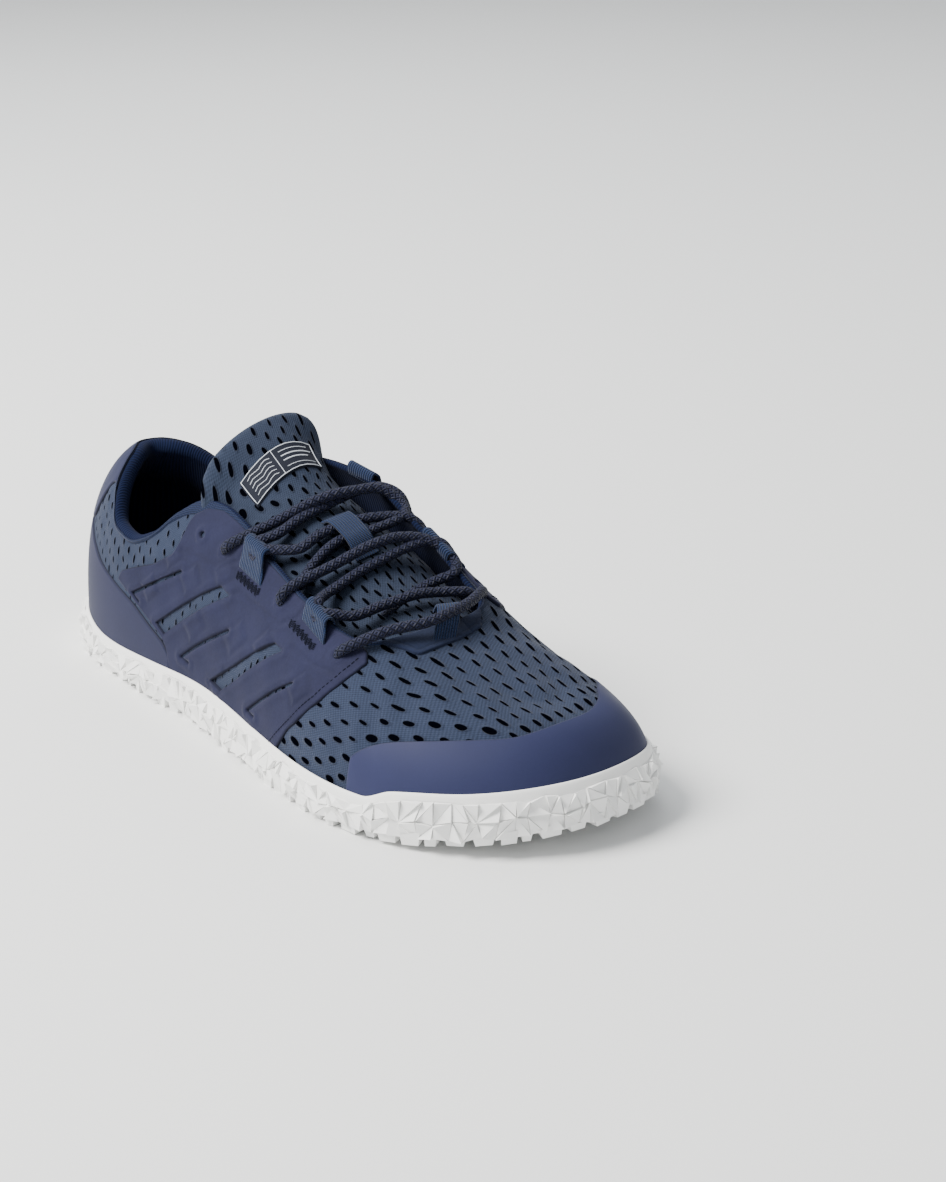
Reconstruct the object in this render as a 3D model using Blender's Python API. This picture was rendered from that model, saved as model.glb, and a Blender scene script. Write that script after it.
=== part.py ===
"""Barefoot shoe, right foot: cup outsole, hollow mesh upper, tongue, insole, overlays, webbing and lace.

Metres, +Z up, +Y towards the toe, +X towards the outer (lateral) side, floor at z = 0.
All tables are in millimetres. Every upper piece is cut from one function, last(phi, v):
phi runs round the foot's outline (0 heel, pi toe, first half lateral), v climbs from the sole to the crest.
"""
import bpy
import bmesh
import numpy as np

PI = np.pi
MM = 0.001
CENTRE = (0.158, -0.198)       # plan centre of the whole shoe, mm
LAST_L = 282.0             # length of the outline where upper and sole meet
PLATFORM = 6.5             # height of that outline over the floor
TOE_SPRING = 7.5
TOE_SLOPE = 0.30           # fall of the crest towards the toe
HEEL_BEVEL = 1.0
WALL = 2.2                 # upper's wall
GAP = 0.3                  # play between neighbouring pieces
FACET = 0.1                # extra play where two faceted curves run side by side
OVERLAY = 0.9              # thickness of toe cap, counter and side cages
WEBBING = 0.8
TONGUE_T = 4.2
INSOLE_T = 3.2
LUG = 2.2                  # tread depth
GROOVE = 1.5               # half width of the V grooves between lugs
TREAD_ROWS = 18
TREAD_COLS = 7
RIM_T = 1.7                # sole's lip
SOLE_FLARE = 3.0           # sole's edge outside the last
LACE_R = 1.9
N_ROUND = 84               # columns round the foot
N_UP = 10                  # rows up the upper

# station from the heel 0..1, lateral half width, medial half width
OUTLINE = [
    (0.000, 0.0, 0.0), (0.040, 19.0, 19.5), (0.120, 29.5, 30.0), (0.250, 34.6, 32.5), (0.380, 36.8, 31.5),
    (0.500, 41.6, 35.0), (0.600, 46.8, 41.0), (0.700, 50.8, 47.6), (0.800, 49.8, 51.0), (0.880, 41.6, 49.5),
    (0.950, 26.2, 42.5), (0.985, 10.5, 32.5), (1.000, -10.0, -10.0),
]
# station, crest y, crest x, crest height, roundness of the top and uprightness of the side, lateral then medial
SECTIONS = [
    (0.00, -94.0, -1.0, 88.0, 2.00, 2.80, 2.0, 2.8),
    (0.05, -92.0, -1.0, 88.0, 2.00, 2.80, 2.0, 2.8),
    (0.12, -86.0, -1.5, 90.0, 2.00, 2.70, 2.0, 2.8),
    (0.25, -66.0, -4.0, 96.0, 2.00, 2.30, 2.2, 3.0),
    (0.38, -34.0, -11.0, 98.5, 2.00, 2.00, 2.4, 3.6),
    (0.50, -2.0, -15.0, 93.0, 2.00, 1.80, 2.5, 4.0),
    (0.60, 24.0, -14.0, 81.0, 2.00, 1.95, 2.3, 3.0),
    (0.70, 49.0, -11.0, 66.0, 2.05, 2.20, 2.2, 2.6),
    (0.80, 73.0, -8.5, 54.5, 2.10, 2.30, 2.1, 2.4),
    (0.88, 90.0, -9.0, 48.5, 2.20, 2.20, 2.2, 2.3),
    (0.95, 100.0, -10.0, 45.5, 2.20, 2.10, 2.2, 2.2),
    (1.00, 104.0, -10.5, 44.6, 2.20, 2.10, 2.2, 2.1),
]
# station, height of the sole's lip
LIP = [(0.0, 16.7), (0.06, 14.7), (0.15, 12.5), (0.28, 14.2), (0.42, 16.3), (0.55, 14.8), (0.68, 14.0),
       (0.80, 14.2), (0.84, 18.4), (0.93, 21.5), (1.0, 24.4)]
# station, v of the collar and throat edge, lateral and medial
OPENING = [
    (0.00, 0.730, 0.730), (0.02, 0.735, 0.740), (0.05, 0.710, 0.730), (0.08, 0.630, 0.690), (0.12, 0.465, 0.600),
    (0.16, 0.350, 0.500), (0.20, 0.335, 0.455), (0.25, 0.385, 0.470), (0.30, 0.505, 0.530), (0.34, 0.575, 0.590),
    (0.38, 0.585, 0.630), (0.42, 0.575, 0.660), (0.46, 0.560, 0.690), (0.50, 0.535, 0.710), (0.58, 0.530, 0.740),
    (0.66, 0.555, 0.745), (0.70, 0.590, 0.750), (0.73, 0.660, 0.770), (0.75, 0.770, 0.830), (0.765, 0.90, 0.92),
    (0.775, 1.0, 1.0), (1.0, 1.0, 1.0),
]
# y, centre x, height, half width lateral, half width medial, tilt, crown, sweep back of the sides
TONGUE = [
    (72.0, -4.0, 50.0, 17.0, 17.0, 1.0, 3.0, 0.0),
    (49.0, -1.5, 58.0, 26.0, 26.0, 3.0, 6.0, 0.0),
    (24.0, -1.5, 69.5, 27.5, 26.5, 5.0, 9.5, 0.0),
    (0.0, -2.5, 79.5, 26.5, 23.0, 6.8, 12.5, 0.0),
    (-16.0, -3.0, 88.5, 24.0, 19.0, 8.0, 15.5, 3.0),
    (-31.0, -3.5, 98.0, 22.0, 18.5, 9.0, 18.0, 6.0),
    (-41.0, -4.0, 104.5, 25.0, 23.5, 9.5, 11.0, 8.0),
]
# station, v: top edge of the heel counter (both sides), of the toe cap, and edges of the side cages
COUNTER_TOP = [(0.0, 0.30), (0.049, 0.285), (0.09, 0.240), (0.128, 0.200), (0.174, 0.176), (0.23, 0.156),
               (0.278, 0.126), (0.307, 0.108), (0.33, 0.074)]
TOE_TOP_LATERAL = [(0.762, 0.12), (0.773, 0.203), (0.795, 0.283), (0.814, 0.328), (0.858, 0.406), (0.921, 0.492),
                   (0.96, 0.533), (0.982, 0.581), (1.0, 0.632)]
TOE_TOP_MEDIAL = [(0.782, 0.12), (0.790, 0.203), (0.805, 0.283), (0.822, 0.340), (0.865, 0.440), (0.91, 0.545),
                  (0.949, 0.628), (0.983, 0.650), (1.0, 0.632)]
CAGE_LOW = [(0.19, 0.196), (0.23, 0.170), (0.278, 0.141), (0.307, 0.124), (0.335, 0.080), (0.345, 0.0),
            (0.60, 0.0), (0.612, 0.075), (0.657, 0.185), (0.694, 0.315), (0.719, 0.440), (0.733, 0.540)]
CAGE_TOP = [(0.19, 0.225), (0.203, 0.240), (0.26, 0.300), (0.307, 0.365), (0.33, 0.480), (0.37, 0.545),
            (0.42, 0.545), (0.46, 0.535), (0.50, 0.515), (0.58, 0.510), (0.66, 0.535), (0.70, 0.565), (0.733, 0.60)]
# name, side (1 lateral, -1 medial), first and last station, first and last v
TABS = [
    ("lace_loop_lateral_front", 1, 0.600, 0.650, 0.430, 0.478),
    ("lace_loop_lateral_rear", 1, 0.458, 0.508, 0.425, 0.470),
    ("lace_loop_medial_front", -1, 0.600, 0.650, 0.560, 0.620),
    ("lace_loop_medial_rear", -1, 0.458, 0.508, 0.540, 0.590),
]
KEEPER = dict(y0=2.2, y1=21.4, ramp=1.5, lift=6.9, s0=-0.28, s1=0.12)     # strap over the lace on the tongue
# lace runs: each row is a point x, y, z of the cord's middle
LACE = {
    "lace_front_bar": [
        [(33.4, 54.0, 54.8), (21.9, 63.5, 59.2), (6.6, 70.9, 61.3), (-12.4, 68.4, 62.4), (-22.1, 66.4, 62.6)],
    ],
    "lace_lower_cross": [
        [(-19.0, 53.7, 62.4), (-12.8, 50.1, 62.0), (9.0, 47.6, 60.8), (29.0, 45.4, 60.0), (31.0, 39.5, 61.9),
         (28.7, 33.5, 63.4), (20.9, 27.7, 64.7), (-10.0, 30.2, 72.2), (-21.5, 31.5, 74.4), (-25.5, 38.0, 76.2)],
        [(7.3, 46.4, 61.0), (-5.0, 43.6, 63.5), (-16.8, 43.2, 64.3), (-23.6, 48.2, 67.2), (-24.8, 44.0, 70.8),
         (-25.0, 36.4, 74.1), (-18.0, 30.5, 73.6), (-7.3, 28.0, 73.8), (13.7, 22.7, 69.2), (27.5, 19.2, 66.6)],
    ],
    "lace_upper_cross": [
        [(-25.9, 10.7, 88.7), (-20.0, 2.5, 86.5), (-8.6, 0.2, 85.6), (8.0, -3.2, 81.4), (22.3, -5.5, 75.6),
         (28.2, -1.5, 69.6), (26.2, 5.0, 70.0), (6.2, 8.0, 78.0), (-8.8, 12.5, 80.4), (-20.0, 17.0, 79.8),
         (-24.4, 21.5, 81.6)],
        [(24.6, -21.7, 77.8), (15.5, -11.0, 80.0), (1.7, -1.5, 84.2), (-12.0, 2.0, 86.2), (-24.0, 5.5, 89.4),
         (-26.0, 12.5, 87.9), (-25.5, 17.0, 85.7), (-22.6, 20.2, 80.6), (-14.0, 17.6, 78.3), (2.5, 12.7, 77.8),
         (16.5, 14.1, 70.2)],
    ],
}


# ------------------------------------------------------------------ curves
def ring_spline(t, y):
    """closed cubic spline of period 2 pi"""
    t, y = np.asarray(t, float), np.asarray(y, float)
    n = len(t)
    h = np.diff(np.append(t, t[0] + 2 * PI))
    d = np.diff(np.append(y, y[0])) / h
    a, b = np.zeros((n, n)), np.zeros(n)
    for i in range(n):
        a[i, i - 1] += h[i - 1]
        a[i, i] += 2 * (h[i - 1] + h[i])
        a[i, (i + 1) % n] += h[i]
        b[i] = 6 * (d[i] - d[i - 1])
    m = np.linalg.solve(a, b)

    def f(x):
        x = (np.asarray(x, float) - t[0]) % (2 * PI) + t[0]
        i = np.clip(np.searchsorted(t, x, side="right") - 1, 0, n - 1)
        j = (i + 1) % n
        s, r = x - t[i], h[i] - (x - t[i])
        return ((m[i] * r ** 3 + m[j] * s ** 3) / (6 * h[i]) + (y[i] / h[i] - m[i] * h[i] / 6) * r
                + (y[j] / h[i] - m[j] * h[i] / 6) * s)
    return f


def curve(rows, col):
    """smooth curve without overshoot through one column of a table"""
    x = np.array([r[0] for r in rows], float)
    y = np.array([r[col] for r in rows], float)
    h = np.diff(x)
    d = np.diff(y) / h
    n = len(x)
    m = np.zeros(n)
    for i in range(1, n - 1):
        if d[i - 1] * d[i] > 0:
            w1, w2 = 2 * h[i] + h[i - 1], h[i] + 2 * h[i - 1]
            m[i] = (w1 + w2) / (w1 / d[i - 1] + w2 / d[i])
    m[0], m[-1] = d[0], d[-1]

    def f(q):
        q = np.clip(np.asarray(q, float), x[0], x[-1])
        i = np.clip(np.searchsorted(x, q, side="right") - 1, 0, n - 2)
        s = (q - x[i]) / h[i]
        return ((2 * s ** 3 - 3 * s ** 2 + 1) * y[i] + (s ** 3 - 2 * s ** 2 + s) * h[i] * m[i]
                + (-2 * s ** 3 + 3 * s ** 2) * y[i + 1] + (s ** 3 - s ** 2) * h[i] * m[i + 1])
    return f


def angle(f):
    return np.arccos(1 - 2 * np.clip(f, 0, 1))


_t = [angle(r[0]) for r in OUTLINE] + [2 * PI - angle(r[0]) for r in OUTLINE[-2:0:-1]]
_x = [r[1] for r in OUTLINE] + [-r[2] for r in OUTLINE[-2:0:-1]]
outline_x = ring_spline(_t, _x)
crest_y, crest_x, crest_z, top_l, up_l, top_m, up_m = [curve(SECTIONS, i) for i in range(1, 8)]
lip_z = curve(LIP, 1)
open_l, open_m = curve(OPENING, 1), curve(OPENING, 2)


def station(phi):
    return (1 - np.cos(phi)) / 2


def lateral(phi):
    """1 on the lateral side, 0 on the medial, blended at heel and toe"""
    return 0.5 + 0.5 * np.clip(np.sin(phi) / 0.25, -1, 1)


def spring(y):
    f = (np.asarray(y, float) + LAST_L / 2) / LAST_L
    return TOE_SPRING * np.clip((f - 0.72) / 0.28, 0, 1) ** 2 + HEEL_BEVEL * np.clip((0.10 - f) / 0.10, 0, 1) ** 2


def outline(phi, out=0.0):
    """plan point of the outline, moved outwards"""
    def p(q):
        return np.stack([outline_x(q), -LAST_L / 2 * np.cos(q)], -1)
    phi = np.asarray(phi, float)
    t = p(phi + 1e-3) - p(phi - 1e-3)
    t /= np.linalg.norm(t, axis=-1, keepdims=True)
    return p(phi) + np.stack([t[..., 1], -t[..., 0]], -1) * out


def crest(phi):
    f = station(phi)
    return np.stack([crest_x(f), crest_y(f)], -1)


def opening(phi):
    f, s = station(phi), lateral(phi)
    return open_l(f) * s + open_m(f) * (1 - s)


def last(phi, v):
    """outer surface of the upper"""
    phi, v = np.broadcast_arrays(np.asarray(phi, float), np.asarray(v, float))
    f, s = station(phi), lateral(phi)
    b = outline(phi)
    base = PLATFORM + spring(b[..., 1])
    n = top_l(f) * s + top_m(f) * (1 - s)
    m = up_l(f) * s + up_m(f) * (1 - s)
    th = np.clip(v, 0, 1) * PI / 2
    g = np.sin(th) ** (2 / m)
    h = 1 - np.cos(th) ** (2 / n)
    xy = b + (crest(phi) - b) * h[..., None]
    # the toe's columns meet the crest at the crest's own slope, not level
    w = np.clip((f - 0.72) / 0.2, 0, 1) ** 2 * np.clip((h - 0.25) / 0.5, 0, 1) ** 2
    z = base + (crest_z(f) - base) * g - TOE_SLOPE * (xy[..., 1] - crest_y(f)) * w
    return np.concatenate([xy, z[..., None]], -1)


def normal(phi, v):
    phi, v = np.broadcast_arrays(np.asarray(phi, float), np.asarray(v, float))
    v = np.clip(v, 0.004, 0.985)
    a = last(phi + 2e-3, v) - last(phi - 2e-3, v)
    b = last(phi, v + 2e-3) - last(phi, v - 2e-3)
    n = np.cross(a, b)
    return n / np.linalg.norm(n, axis=-1, keepdims=True)


def off(phi, v, d):
    return last(phi, v) + normal(phi, v) * np.asarray(d, float)[..., None]


def v_at_height(phi, z):
    """v where the last reaches a height"""
    lo, hi = np.zeros(np.shape(phi)), np.full(np.shape(phi), 0.6)
    for _ in range(40):
        mid = (lo + hi) / 2
        low = last(phi, mid)[..., 2] < z
        lo, hi = np.where(low, mid, lo), np.where(low, hi, mid)
    return (lo + hi) / 2


_tg = [curve([(-r[0],) + r[1:] for r in TONGUE], i) for i in range(1, 8)]


def tongue(y, s, d=0.0):
    """tongue's top face; s -1 medial .. 1 lateral; d out along its normal"""
    def p(y, s):
        xc, zc, wl, wm, tilt, crown, sweep = [q(-y) for q in _tg]
        return np.stack([xc + np.where(s > 0, wl, wm) * s, y - sweep * s, zc - tilt * s - crown * s * s], -1)
    y, s = np.broadcast_arrays(np.asarray(y, float), np.asarray(s, float))
    n = np.cross(p(y, s + 1e-3) - p(y, s - 1e-3), p(y + 1e-2, s) - p(y - 1e-2, s))
    n /= np.linalg.norm(n, axis=-1, keepdims=True)
    return p(y, s) + n * np.asarray(d, float)[..., None]


# ------------------------------------------------------------------ mesh helpers
def material(name, rgb, rough):
    m = bpy.data.materials.new(name)
    m.use_nodes = True
    b = m.node_tree.nodes["Principled BSDF"]
    b.inputs["Base Color"].default_value = (*rgb, 1)
    b.inputs["Roughness"].default_value = rough
    b.inputs["Metallic"].default_value = 0.0
    m.diffuse_color = (*rgb, 1)
    return m


def finish(name, bm, mat, weld=1e-5):
    bmesh.ops.remove_doubles(bm, verts=bm.verts, dist=weld)
    bmesh.ops.dissolve_degenerate(bm, edges=bm.edges, dist=1e-7)
    bmesh.ops.recalc_face_normals(bm, faces=bm.faces)
    me = bpy.data.meshes.new(name)
    bm.to_mesh(me)
    bm.free()
    ob = bpy.data.objects.new(name, me)
    bpy.context.scene.collection.objects.link(ob)
    me.materials.append(mat)
    ob.parent = ROOT
    return ob


def add(bm, p):
    p = np.asarray(p)
    return bm.verts.new(((p[0] - CENTRE[0]) * MM, (p[1] - CENTRE[1]) * MM, p[2] * MM))


def lay(bm, grid):
    return [[add(bm, p) for p in row] for row in grid]


def skin(bm, v, ring=False):
    n = len(v)
    for i in range(n if ring else n - 1):
        for j in range(len(v[0]) - 1):
            q = [v[i][j], v[(i + 1) % n][j], v[(i + 1) % n][j + 1], v[i][j + 1]]
            try:
                bm.faces.new(q)
            except ValueError:
                pass


def slab(name, top, under, mat):
    """closed sheet between two open grids"""
    bm = bmesh.new()
    a, b = lay(bm, top), lay(bm, under)
    skin(bm, a)
    skin(bm, [r[::-1] for r in b])
    n, m = len(a), len(a[0])
    loop = [(i, 0) for i in range(n)] + [(n - 1, j) for j in range(1, m)] + [(i, m - 1) for i in range(n - 2, -1, -1)] \
        + [(0, j) for j in range(m - 2, 0, -1)]
    for (i, j), (k, l) in zip(loop, loop[1:] + loop[:1]):
        bm.faces.new([a[i][j], b[i][j], b[k][l], a[k][l]])
    return finish(name, bm, mat)


def patch(name, phi, v0, v1, rows, d0, d1, mat):
    """sheet on the last between two edges, from d0 to d1 above it, plus a little for the facets"""
    d0, d1 = d0 + FACET, d1 + FACET
    t = np.linspace(0, 1, rows)
    ph = np.repeat(phi[:, None], rows, 1)
    v = v0[:, None] * (1 - t) + v1[:, None] * t
    return slab(name, off(ph, v, np.full(v.shape, d1)), off(ph, v, np.full(v.shape, d0)), mat)


def tube(points, r, sides=6, steps=2):
    """closed cord of round section through points, as a bmesh"""
    p = np.array(points, float)
    q = np.vstack([2 * p[0] - p[1], p, 2 * p[-1] - p[-2]])
    path = []
    for i in range(1, len(q) - 2):
        for k in range(steps):
            t = k / steps
            path.append(0.5 * (2 * q[i] + (q[i + 1] - q[i - 1]) * t + (2 * q[i - 1] - 5 * q[i] + 4 * q[i + 1] - q[i + 2]) * t ** 2
                               + (3 * q[i] - q[i - 1] - 3 * q[i + 1] + q[i + 2]) * t ** 3))
    path.append(q[-2])
    path = np.array(path)
    tan = np.gradient(path, axis=0)
    tan /= np.linalg.norm(tan, axis=1, keepdims=True)
    up = np.array([0, 0, 1.0])
    bm = bmesh.new()
    rings = []
    for c, t in zip(path, tan):
        a = np.cross(t, up)
        a /= np.linalg.norm(a)
        b = np.cross(a, t)
        up = b
        rings.append([add(bm, c + r * (np.cos(w) * a + np.sin(w) * b)) for w in np.arange(sides) * 2 * PI / sides])
    for g, h in zip(rings, rings[1:]):
        for k in range(sides):
            bm.faces.new([g[k], g[(k + 1) % sides], h[(k + 1) % sides], h[k]])
    bm.faces.new(rings[0][::-1])
    bm.faces.new(rings[-1])
    bmesh.ops.recalc_face_normals(bm, faces=bm.faces)
    return bm


def joined(name, runs, mat):
    """cords that cross, joined into one solid"""
    obs = []
    for run in runs:
        me = bpy.data.meshes.new(name + "_run")
        bm = tube(run, LACE_R)
        bm.to_mesh(me)
        bm.free()
        ob = bpy.data.objects.new(name + "_run", me)
        bpy.context.scene.collection.objects.link(ob)
        obs.append(ob)
    for other in obs[1:]:
        mod = obs[0].modifiers.new("join", "BOOLEAN")
        mod.operation, mod.solver, mod.object = "UNION", "EXACT", other
    bpy.context.view_layer.update()
    me = bpy.data.meshes.new_from_object(obs[0].evaluated_get(bpy.context.evaluated_depsgraph_get()))
    bm = bmesh.new()
    bm.from_mesh(me)
    for ob in obs:
        bpy.data.objects.remove(ob)
    bmesh.ops.triangulate(bm, faces=bm.faces)
    return finish(name, bm, mat, weld=1e-7)


# ------------------------------------------------------------------ pieces
for ob in list(bpy.data.objects):
    bpy.data.objects.remove(ob)
ROOT = bpy.data.objects.new("shoe", None)
bpy.context.scene.collection.objects.link(ROOT)

RUBBER = material("white_rubber", (0.85, 0.85, 0.83), 0.55)
MESH = material("knit_mesh", (0.075, 0.10, 0.16), 0.85)
TONGUE_MAT = material("tongue_mesh", (0.07, 0.095, 0.15), 0.85)
SUEDE = material("navy_microsuede", (0.065, 0.07, 0.13), 0.75)
COUNTER_MAT = material("counter_film", (0.065, 0.07, 0.13), 0.6)
TOE_MAT = material("toe_film", (0.08, 0.095, 0.19), 0.5)
FOAM = material("insole_fabric", (0.02, 0.03, 0.06), 0.9)
WEB = material("webbing", (0.05, 0.085, 0.16), 0.7)
CORD = material("lace_cord", (0.05, 0.055, 0.10), 0.8)

PHI = np.linspace(0, 2 * PI, N_ROUND, endpoint=False)

# upper: one skin of the last, ridge closed in front of the throat, wall laid inwards
top = opening(PHI)
rows = np.linspace(0, 1, N_UP + 1)
bm = bmesh.new()
verts = lay(bm, last(PHI[:, None], rows[None] * top[:, None]))
skin(bm, verts, ring=True)
bmesh.ops.remove_doubles(bm, verts=bm.verts, dist=2e-5)
bmesh.ops.dissolve_degenerate(bm, edges=bm.edges, dist=1e-6)
bmesh.ops.recalc_face_normals(bm, faces=bm.faces)
me = bpy.data.meshes.new("upper")
bm.to_mesh(me)
bm.free()
upper = bpy.data.objects.new("upper", me)
bpy.context.scene.collection.objects.link(upper)
me.materials.append(MESH)
upper.parent = ROOT
mod = upper.modifiers.new("wall", "SOLIDIFY")
mod.thickness = WALL * MM
mod.offset = -1.0
mod.use_rim = True

# outsole: platform, lip that cups the upper, flared side, and a tread of three-cornered lugs
f = station(PHI)
lip_v = v_at_height(PHI, lip_z(f))
inner = outline(PHI, GAP)
edge = outline(PHI, SOLE_FLARE)
heart = crest(PHI)
cols = []
for k in range(N_ROUND):
    c = []
    for t in (1.0, 0.0):                             # platform, from the middle out
        xy = inner[k] * (1 - t) + heart[k] * t
        c.append((*xy, PLATFORM - GAP + spring(xy[1])))
    for t in (0.5, 1.0):                             # inside of the lip
        c.append(off(PHI[k], lip_v[k] * t, GAP))
    n = normal(PHI[k], lip_v[k])
    n = np.array([n[0], n[1], 0]) / np.hypot(n[0], n[1])
    c.append(c[-1] + n * RIM_T)                      # lip's outer corner
    low = LUG + spring(edge[k][1]) + 2.2 * np.clip((0.07 - f[k]) / 0.07, 0, 1)
    mid = (np.array([*edge[k], low]) + c[-1]) / 2
    c.append(mid + n * (0.5 + 0.9 * ((k % 2) * 2 - 1)) + np.array([0, 0, 0.9 * ((k % 3) - 1)]))
    c.append((*edge[k], low))
    cols.append(c)
bm = bmesh.new()
v = lay(bm, cols)
skin(bm, v, ring=True)
rim = [c[-1] for c in v]                             # underside: rows across the foot, split into three-cornered lugs
cut = sorted({int(round(angle(q) / (2 * PI / N_ROUND))) for q in np.linspace(0, 1, TREAD_ROWS + 1)})
lines = []
for r, k in enumerate(cut):
    a, b = edge[k], edge[-k % N_ROUND]
    line = [rim[k]]
    for j in range(1, TREAD_COLS):
        if k in (0, N_ROUND // 2):
            break
        xy = a + (b - a) * (j + 0.22 * (-1) ** r) / TREAD_COLS
        line.append(add(bm, (*xy, LUG + spring(xy[1]))))
    line += [rim[-k % N_ROUND]] if len(line) > 1 else []
    lines.append(line)
lugs = []
for r in range(len(cut) - 1):
    k, m = cut[r], cut[r + 1]
    left = [rim[i] for i in range(k + 1, m)]         # the outline's points between two rows
    right = [rim[-i % N_ROUND] for i in range(k + 1, m)]
    a, b = lines[r], lines[r + 1]
    if len(a) == 1 or len(b) == 1:
        tip, row = (a[0], b) if len(a) == 1 else (b[0], a)
        for j in range(len(row) - 1):
            face = [tip, row[j], row[j + 1]]
            if j == 0:
                face = [tip] + (left if tip is a[0] else left[::-1]) + face[1:]
            elif j == len(row) - 2:
                face = face + (right[::-1] if tip is a[0] else right)
            lugs.append(bm.faces.new(face))
        continue
    for j in range(TREAD_COLS):
        lo, hi = [a[j], a[j + 1]], [b[j], b[j + 1]]
        first, last_ = j == 0, j == TREAD_COLS - 1
        if (r + j) % 2:
            one, two = [lo[0], hi[1], hi[0]], [lo[0], lo[1], hi[1]]
        else:
            one, two = [lo[0], lo[1], hi[0]], [lo[1], hi[1], hi[0]]
        if first:
            one = one + left[::-1]
        if last_:
            two = (two[:2] + right + two[2:]) if (r + j) % 2 else (two[:1] + right + two[1:])
        lugs += [bm.faces.new(one), bm.faces.new(two)]
bm.normal_update()
for fc in lugs:
    inner_r = 2 * fc.calc_area() / sum(e.calc_length() for e in fc.edges)
    bmesh.ops.inset_individual(bm, faces=[fc], thickness=min(GROOVE * MM, 0.42 * inner_r), use_even_offset=True)
    for w in fc.verts:
        w.co.z = float(spring(w.co.y / MM + CENTRE[1])) * MM
finish("outsole", bm, RUBBER)

# insole: loose board on the platform
rim = outline(PHI, -(WALL + 0.7))
bm = bmesh.new()
cols = []
for k in range(N_ROUND):
    c = []
    for t, z in ((1.0, INSOLE_T - 0.5), (0.4, INSOLE_T - 0.4), (0.0, INSOLE_T), (0.0, 0.0), (1.0, 0.0)):
        xy = rim[k] * (1 - t) + heart[k] * t
        c.append((*xy, PLATFORM + z + spring(xy[1])))
    cols.append(c)
v = lay(bm, cols[::2])
skin(bm, v, ring=True)
finish("insole", bm, FOAM)

# tongue
ty = np.array([72, 62, 49, 36, 24, 12, 0, -9, -18, -26, -32, -36, -39, -41.0])
ts = np.linspace(-1, 1, 11)
Y, S = np.meshgrid(ty, ts, indexing="ij")
fall = np.where(Y < -38, 0.84, np.where(Y < -30, 0.88, 1.0))    # free end rounded off
slab("tongue", tongue(Y, S * fall), tongue(Y, S * fall, np.full(Y.shape, -TONGUE_T)), TONGUE_MAT)

def columns(a, b):
    """the upper's own columns from angle a to angle b"""
    step = 2 * PI / N_ROUND
    return np.arange(round(a / step), round(b / step) + 1) * step


# heel counter, toe cap and side cages: sheets on the last, just clear of it and of the sole's lip
ph = columns(-angle(0.325), angle(0.325))
patch("heel_counter", ph, v_at_height(ph, lip_z(station(ph)) + 0.5), curve(COUNTER_TOP, 1)(station(ph)), 5,
      GAP, GAP + OVERLAY, COUNTER_MAT)
ph = columns(angle(0.77), 2 * PI - angle(0.79))
fs = station(ph)
hi = np.where(ph < PI, curve(TOE_TOP_LATERAL, 1)(fs), curve(TOE_TOP_MEDIAL, 1)(fs))
patch("toe_cap", ph, v_at_height(ph, lip_z(fs) + 0.5), hi, 9, GAP + 0.2, GAP + 0.2 + OVERLAY, TOE_MAT)
for nm, sgn in (("side_cage_lateral", 1), ("side_cage_medial", -1)):
    ph = columns(angle(0.20), angle(0.725))
    fs = station(ph)
    lo = np.maximum(curve(CAGE_LOW, 1)(fs), v_at_height(sgn * ph, lip_z(fs) + 0.5))
    hi = curve(CAGE_TOP, 1)(fs)
    if sgn < 0:                                      # medial throat edge sits higher
        hi = hi + np.clip(opening(-ph) - opening(ph), 0, 1) * np.clip((fs - 0.33) / 0.08, 0, 1)
    if sgn < 0:
        ph, lo, hi = -ph[::-1], lo[::-1], hi[::-1]
    clear = GAP + (0.25 if sgn > 0 else 0.5)          # the medial wall turns in more sharply
    patch(nm, ph, lo, hi, 9, clear, clear + OVERLAY, SUEDE)

# webbing: four lace loops' sewn ends, the front loop's base and the keeper that holds the lace on the tongue
for nm, sgn, f0, f1, v0, v1 in TABS:
    ph = np.linspace(angle(f0), angle(f1), 4) * sgn
    if sgn < 0:
        ph = ph[::-1]
    d = GAP + (0.25 if sgn > 0 else 0.5) + OVERLAY + GAP
    patch(nm, ph, np.full(4, v0), np.full(4, v1), 3, d, d + WEBBING, WEB)
ky = np.array([KEEPER["y1"], KEEPER["y1"] - KEEPER["ramp"], (KEEPER["y0"] + KEEPER["y1"]) / 2,
               KEEPER["y0"] + KEEPER["ramp"], KEEPER["y0"]])
kl = np.array([0.4, KEEPER["lift"], KEEPER["lift"] + 0.3, KEEPER["lift"], 0.4])
ks = np.linspace(KEEPER["s0"], KEEPER["s1"], 4)
Y, S = np.meshgrid(ky, ks, indexing="ij")
D = np.repeat(kl[:, None], 4, 1)
slab("tongue_keeper", tongue(Y, S, D + WEBBING), tongue(Y, S, D), WEB)

for nm, runs in LACE.items():
    joined(nm, runs, CORD)
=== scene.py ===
"""Finishing of the barefoot shoe: mesh, suede cages, toe film, padded collar, webbing, braided lace and faceted rubber.

Every upper piece is laid on last(phi, v), the same surface as the CAD's, in millimetres: phi runs round the foot's
outline (0 heel, pi toe, positive lateral, negative medial), v climbs from the sole (0) to the crest (1).
"""

import bmesh
import bpy
import numpy as np
from mathutils import Matrix, Vector
from mathutils.bvhtree import BVHTree


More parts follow.
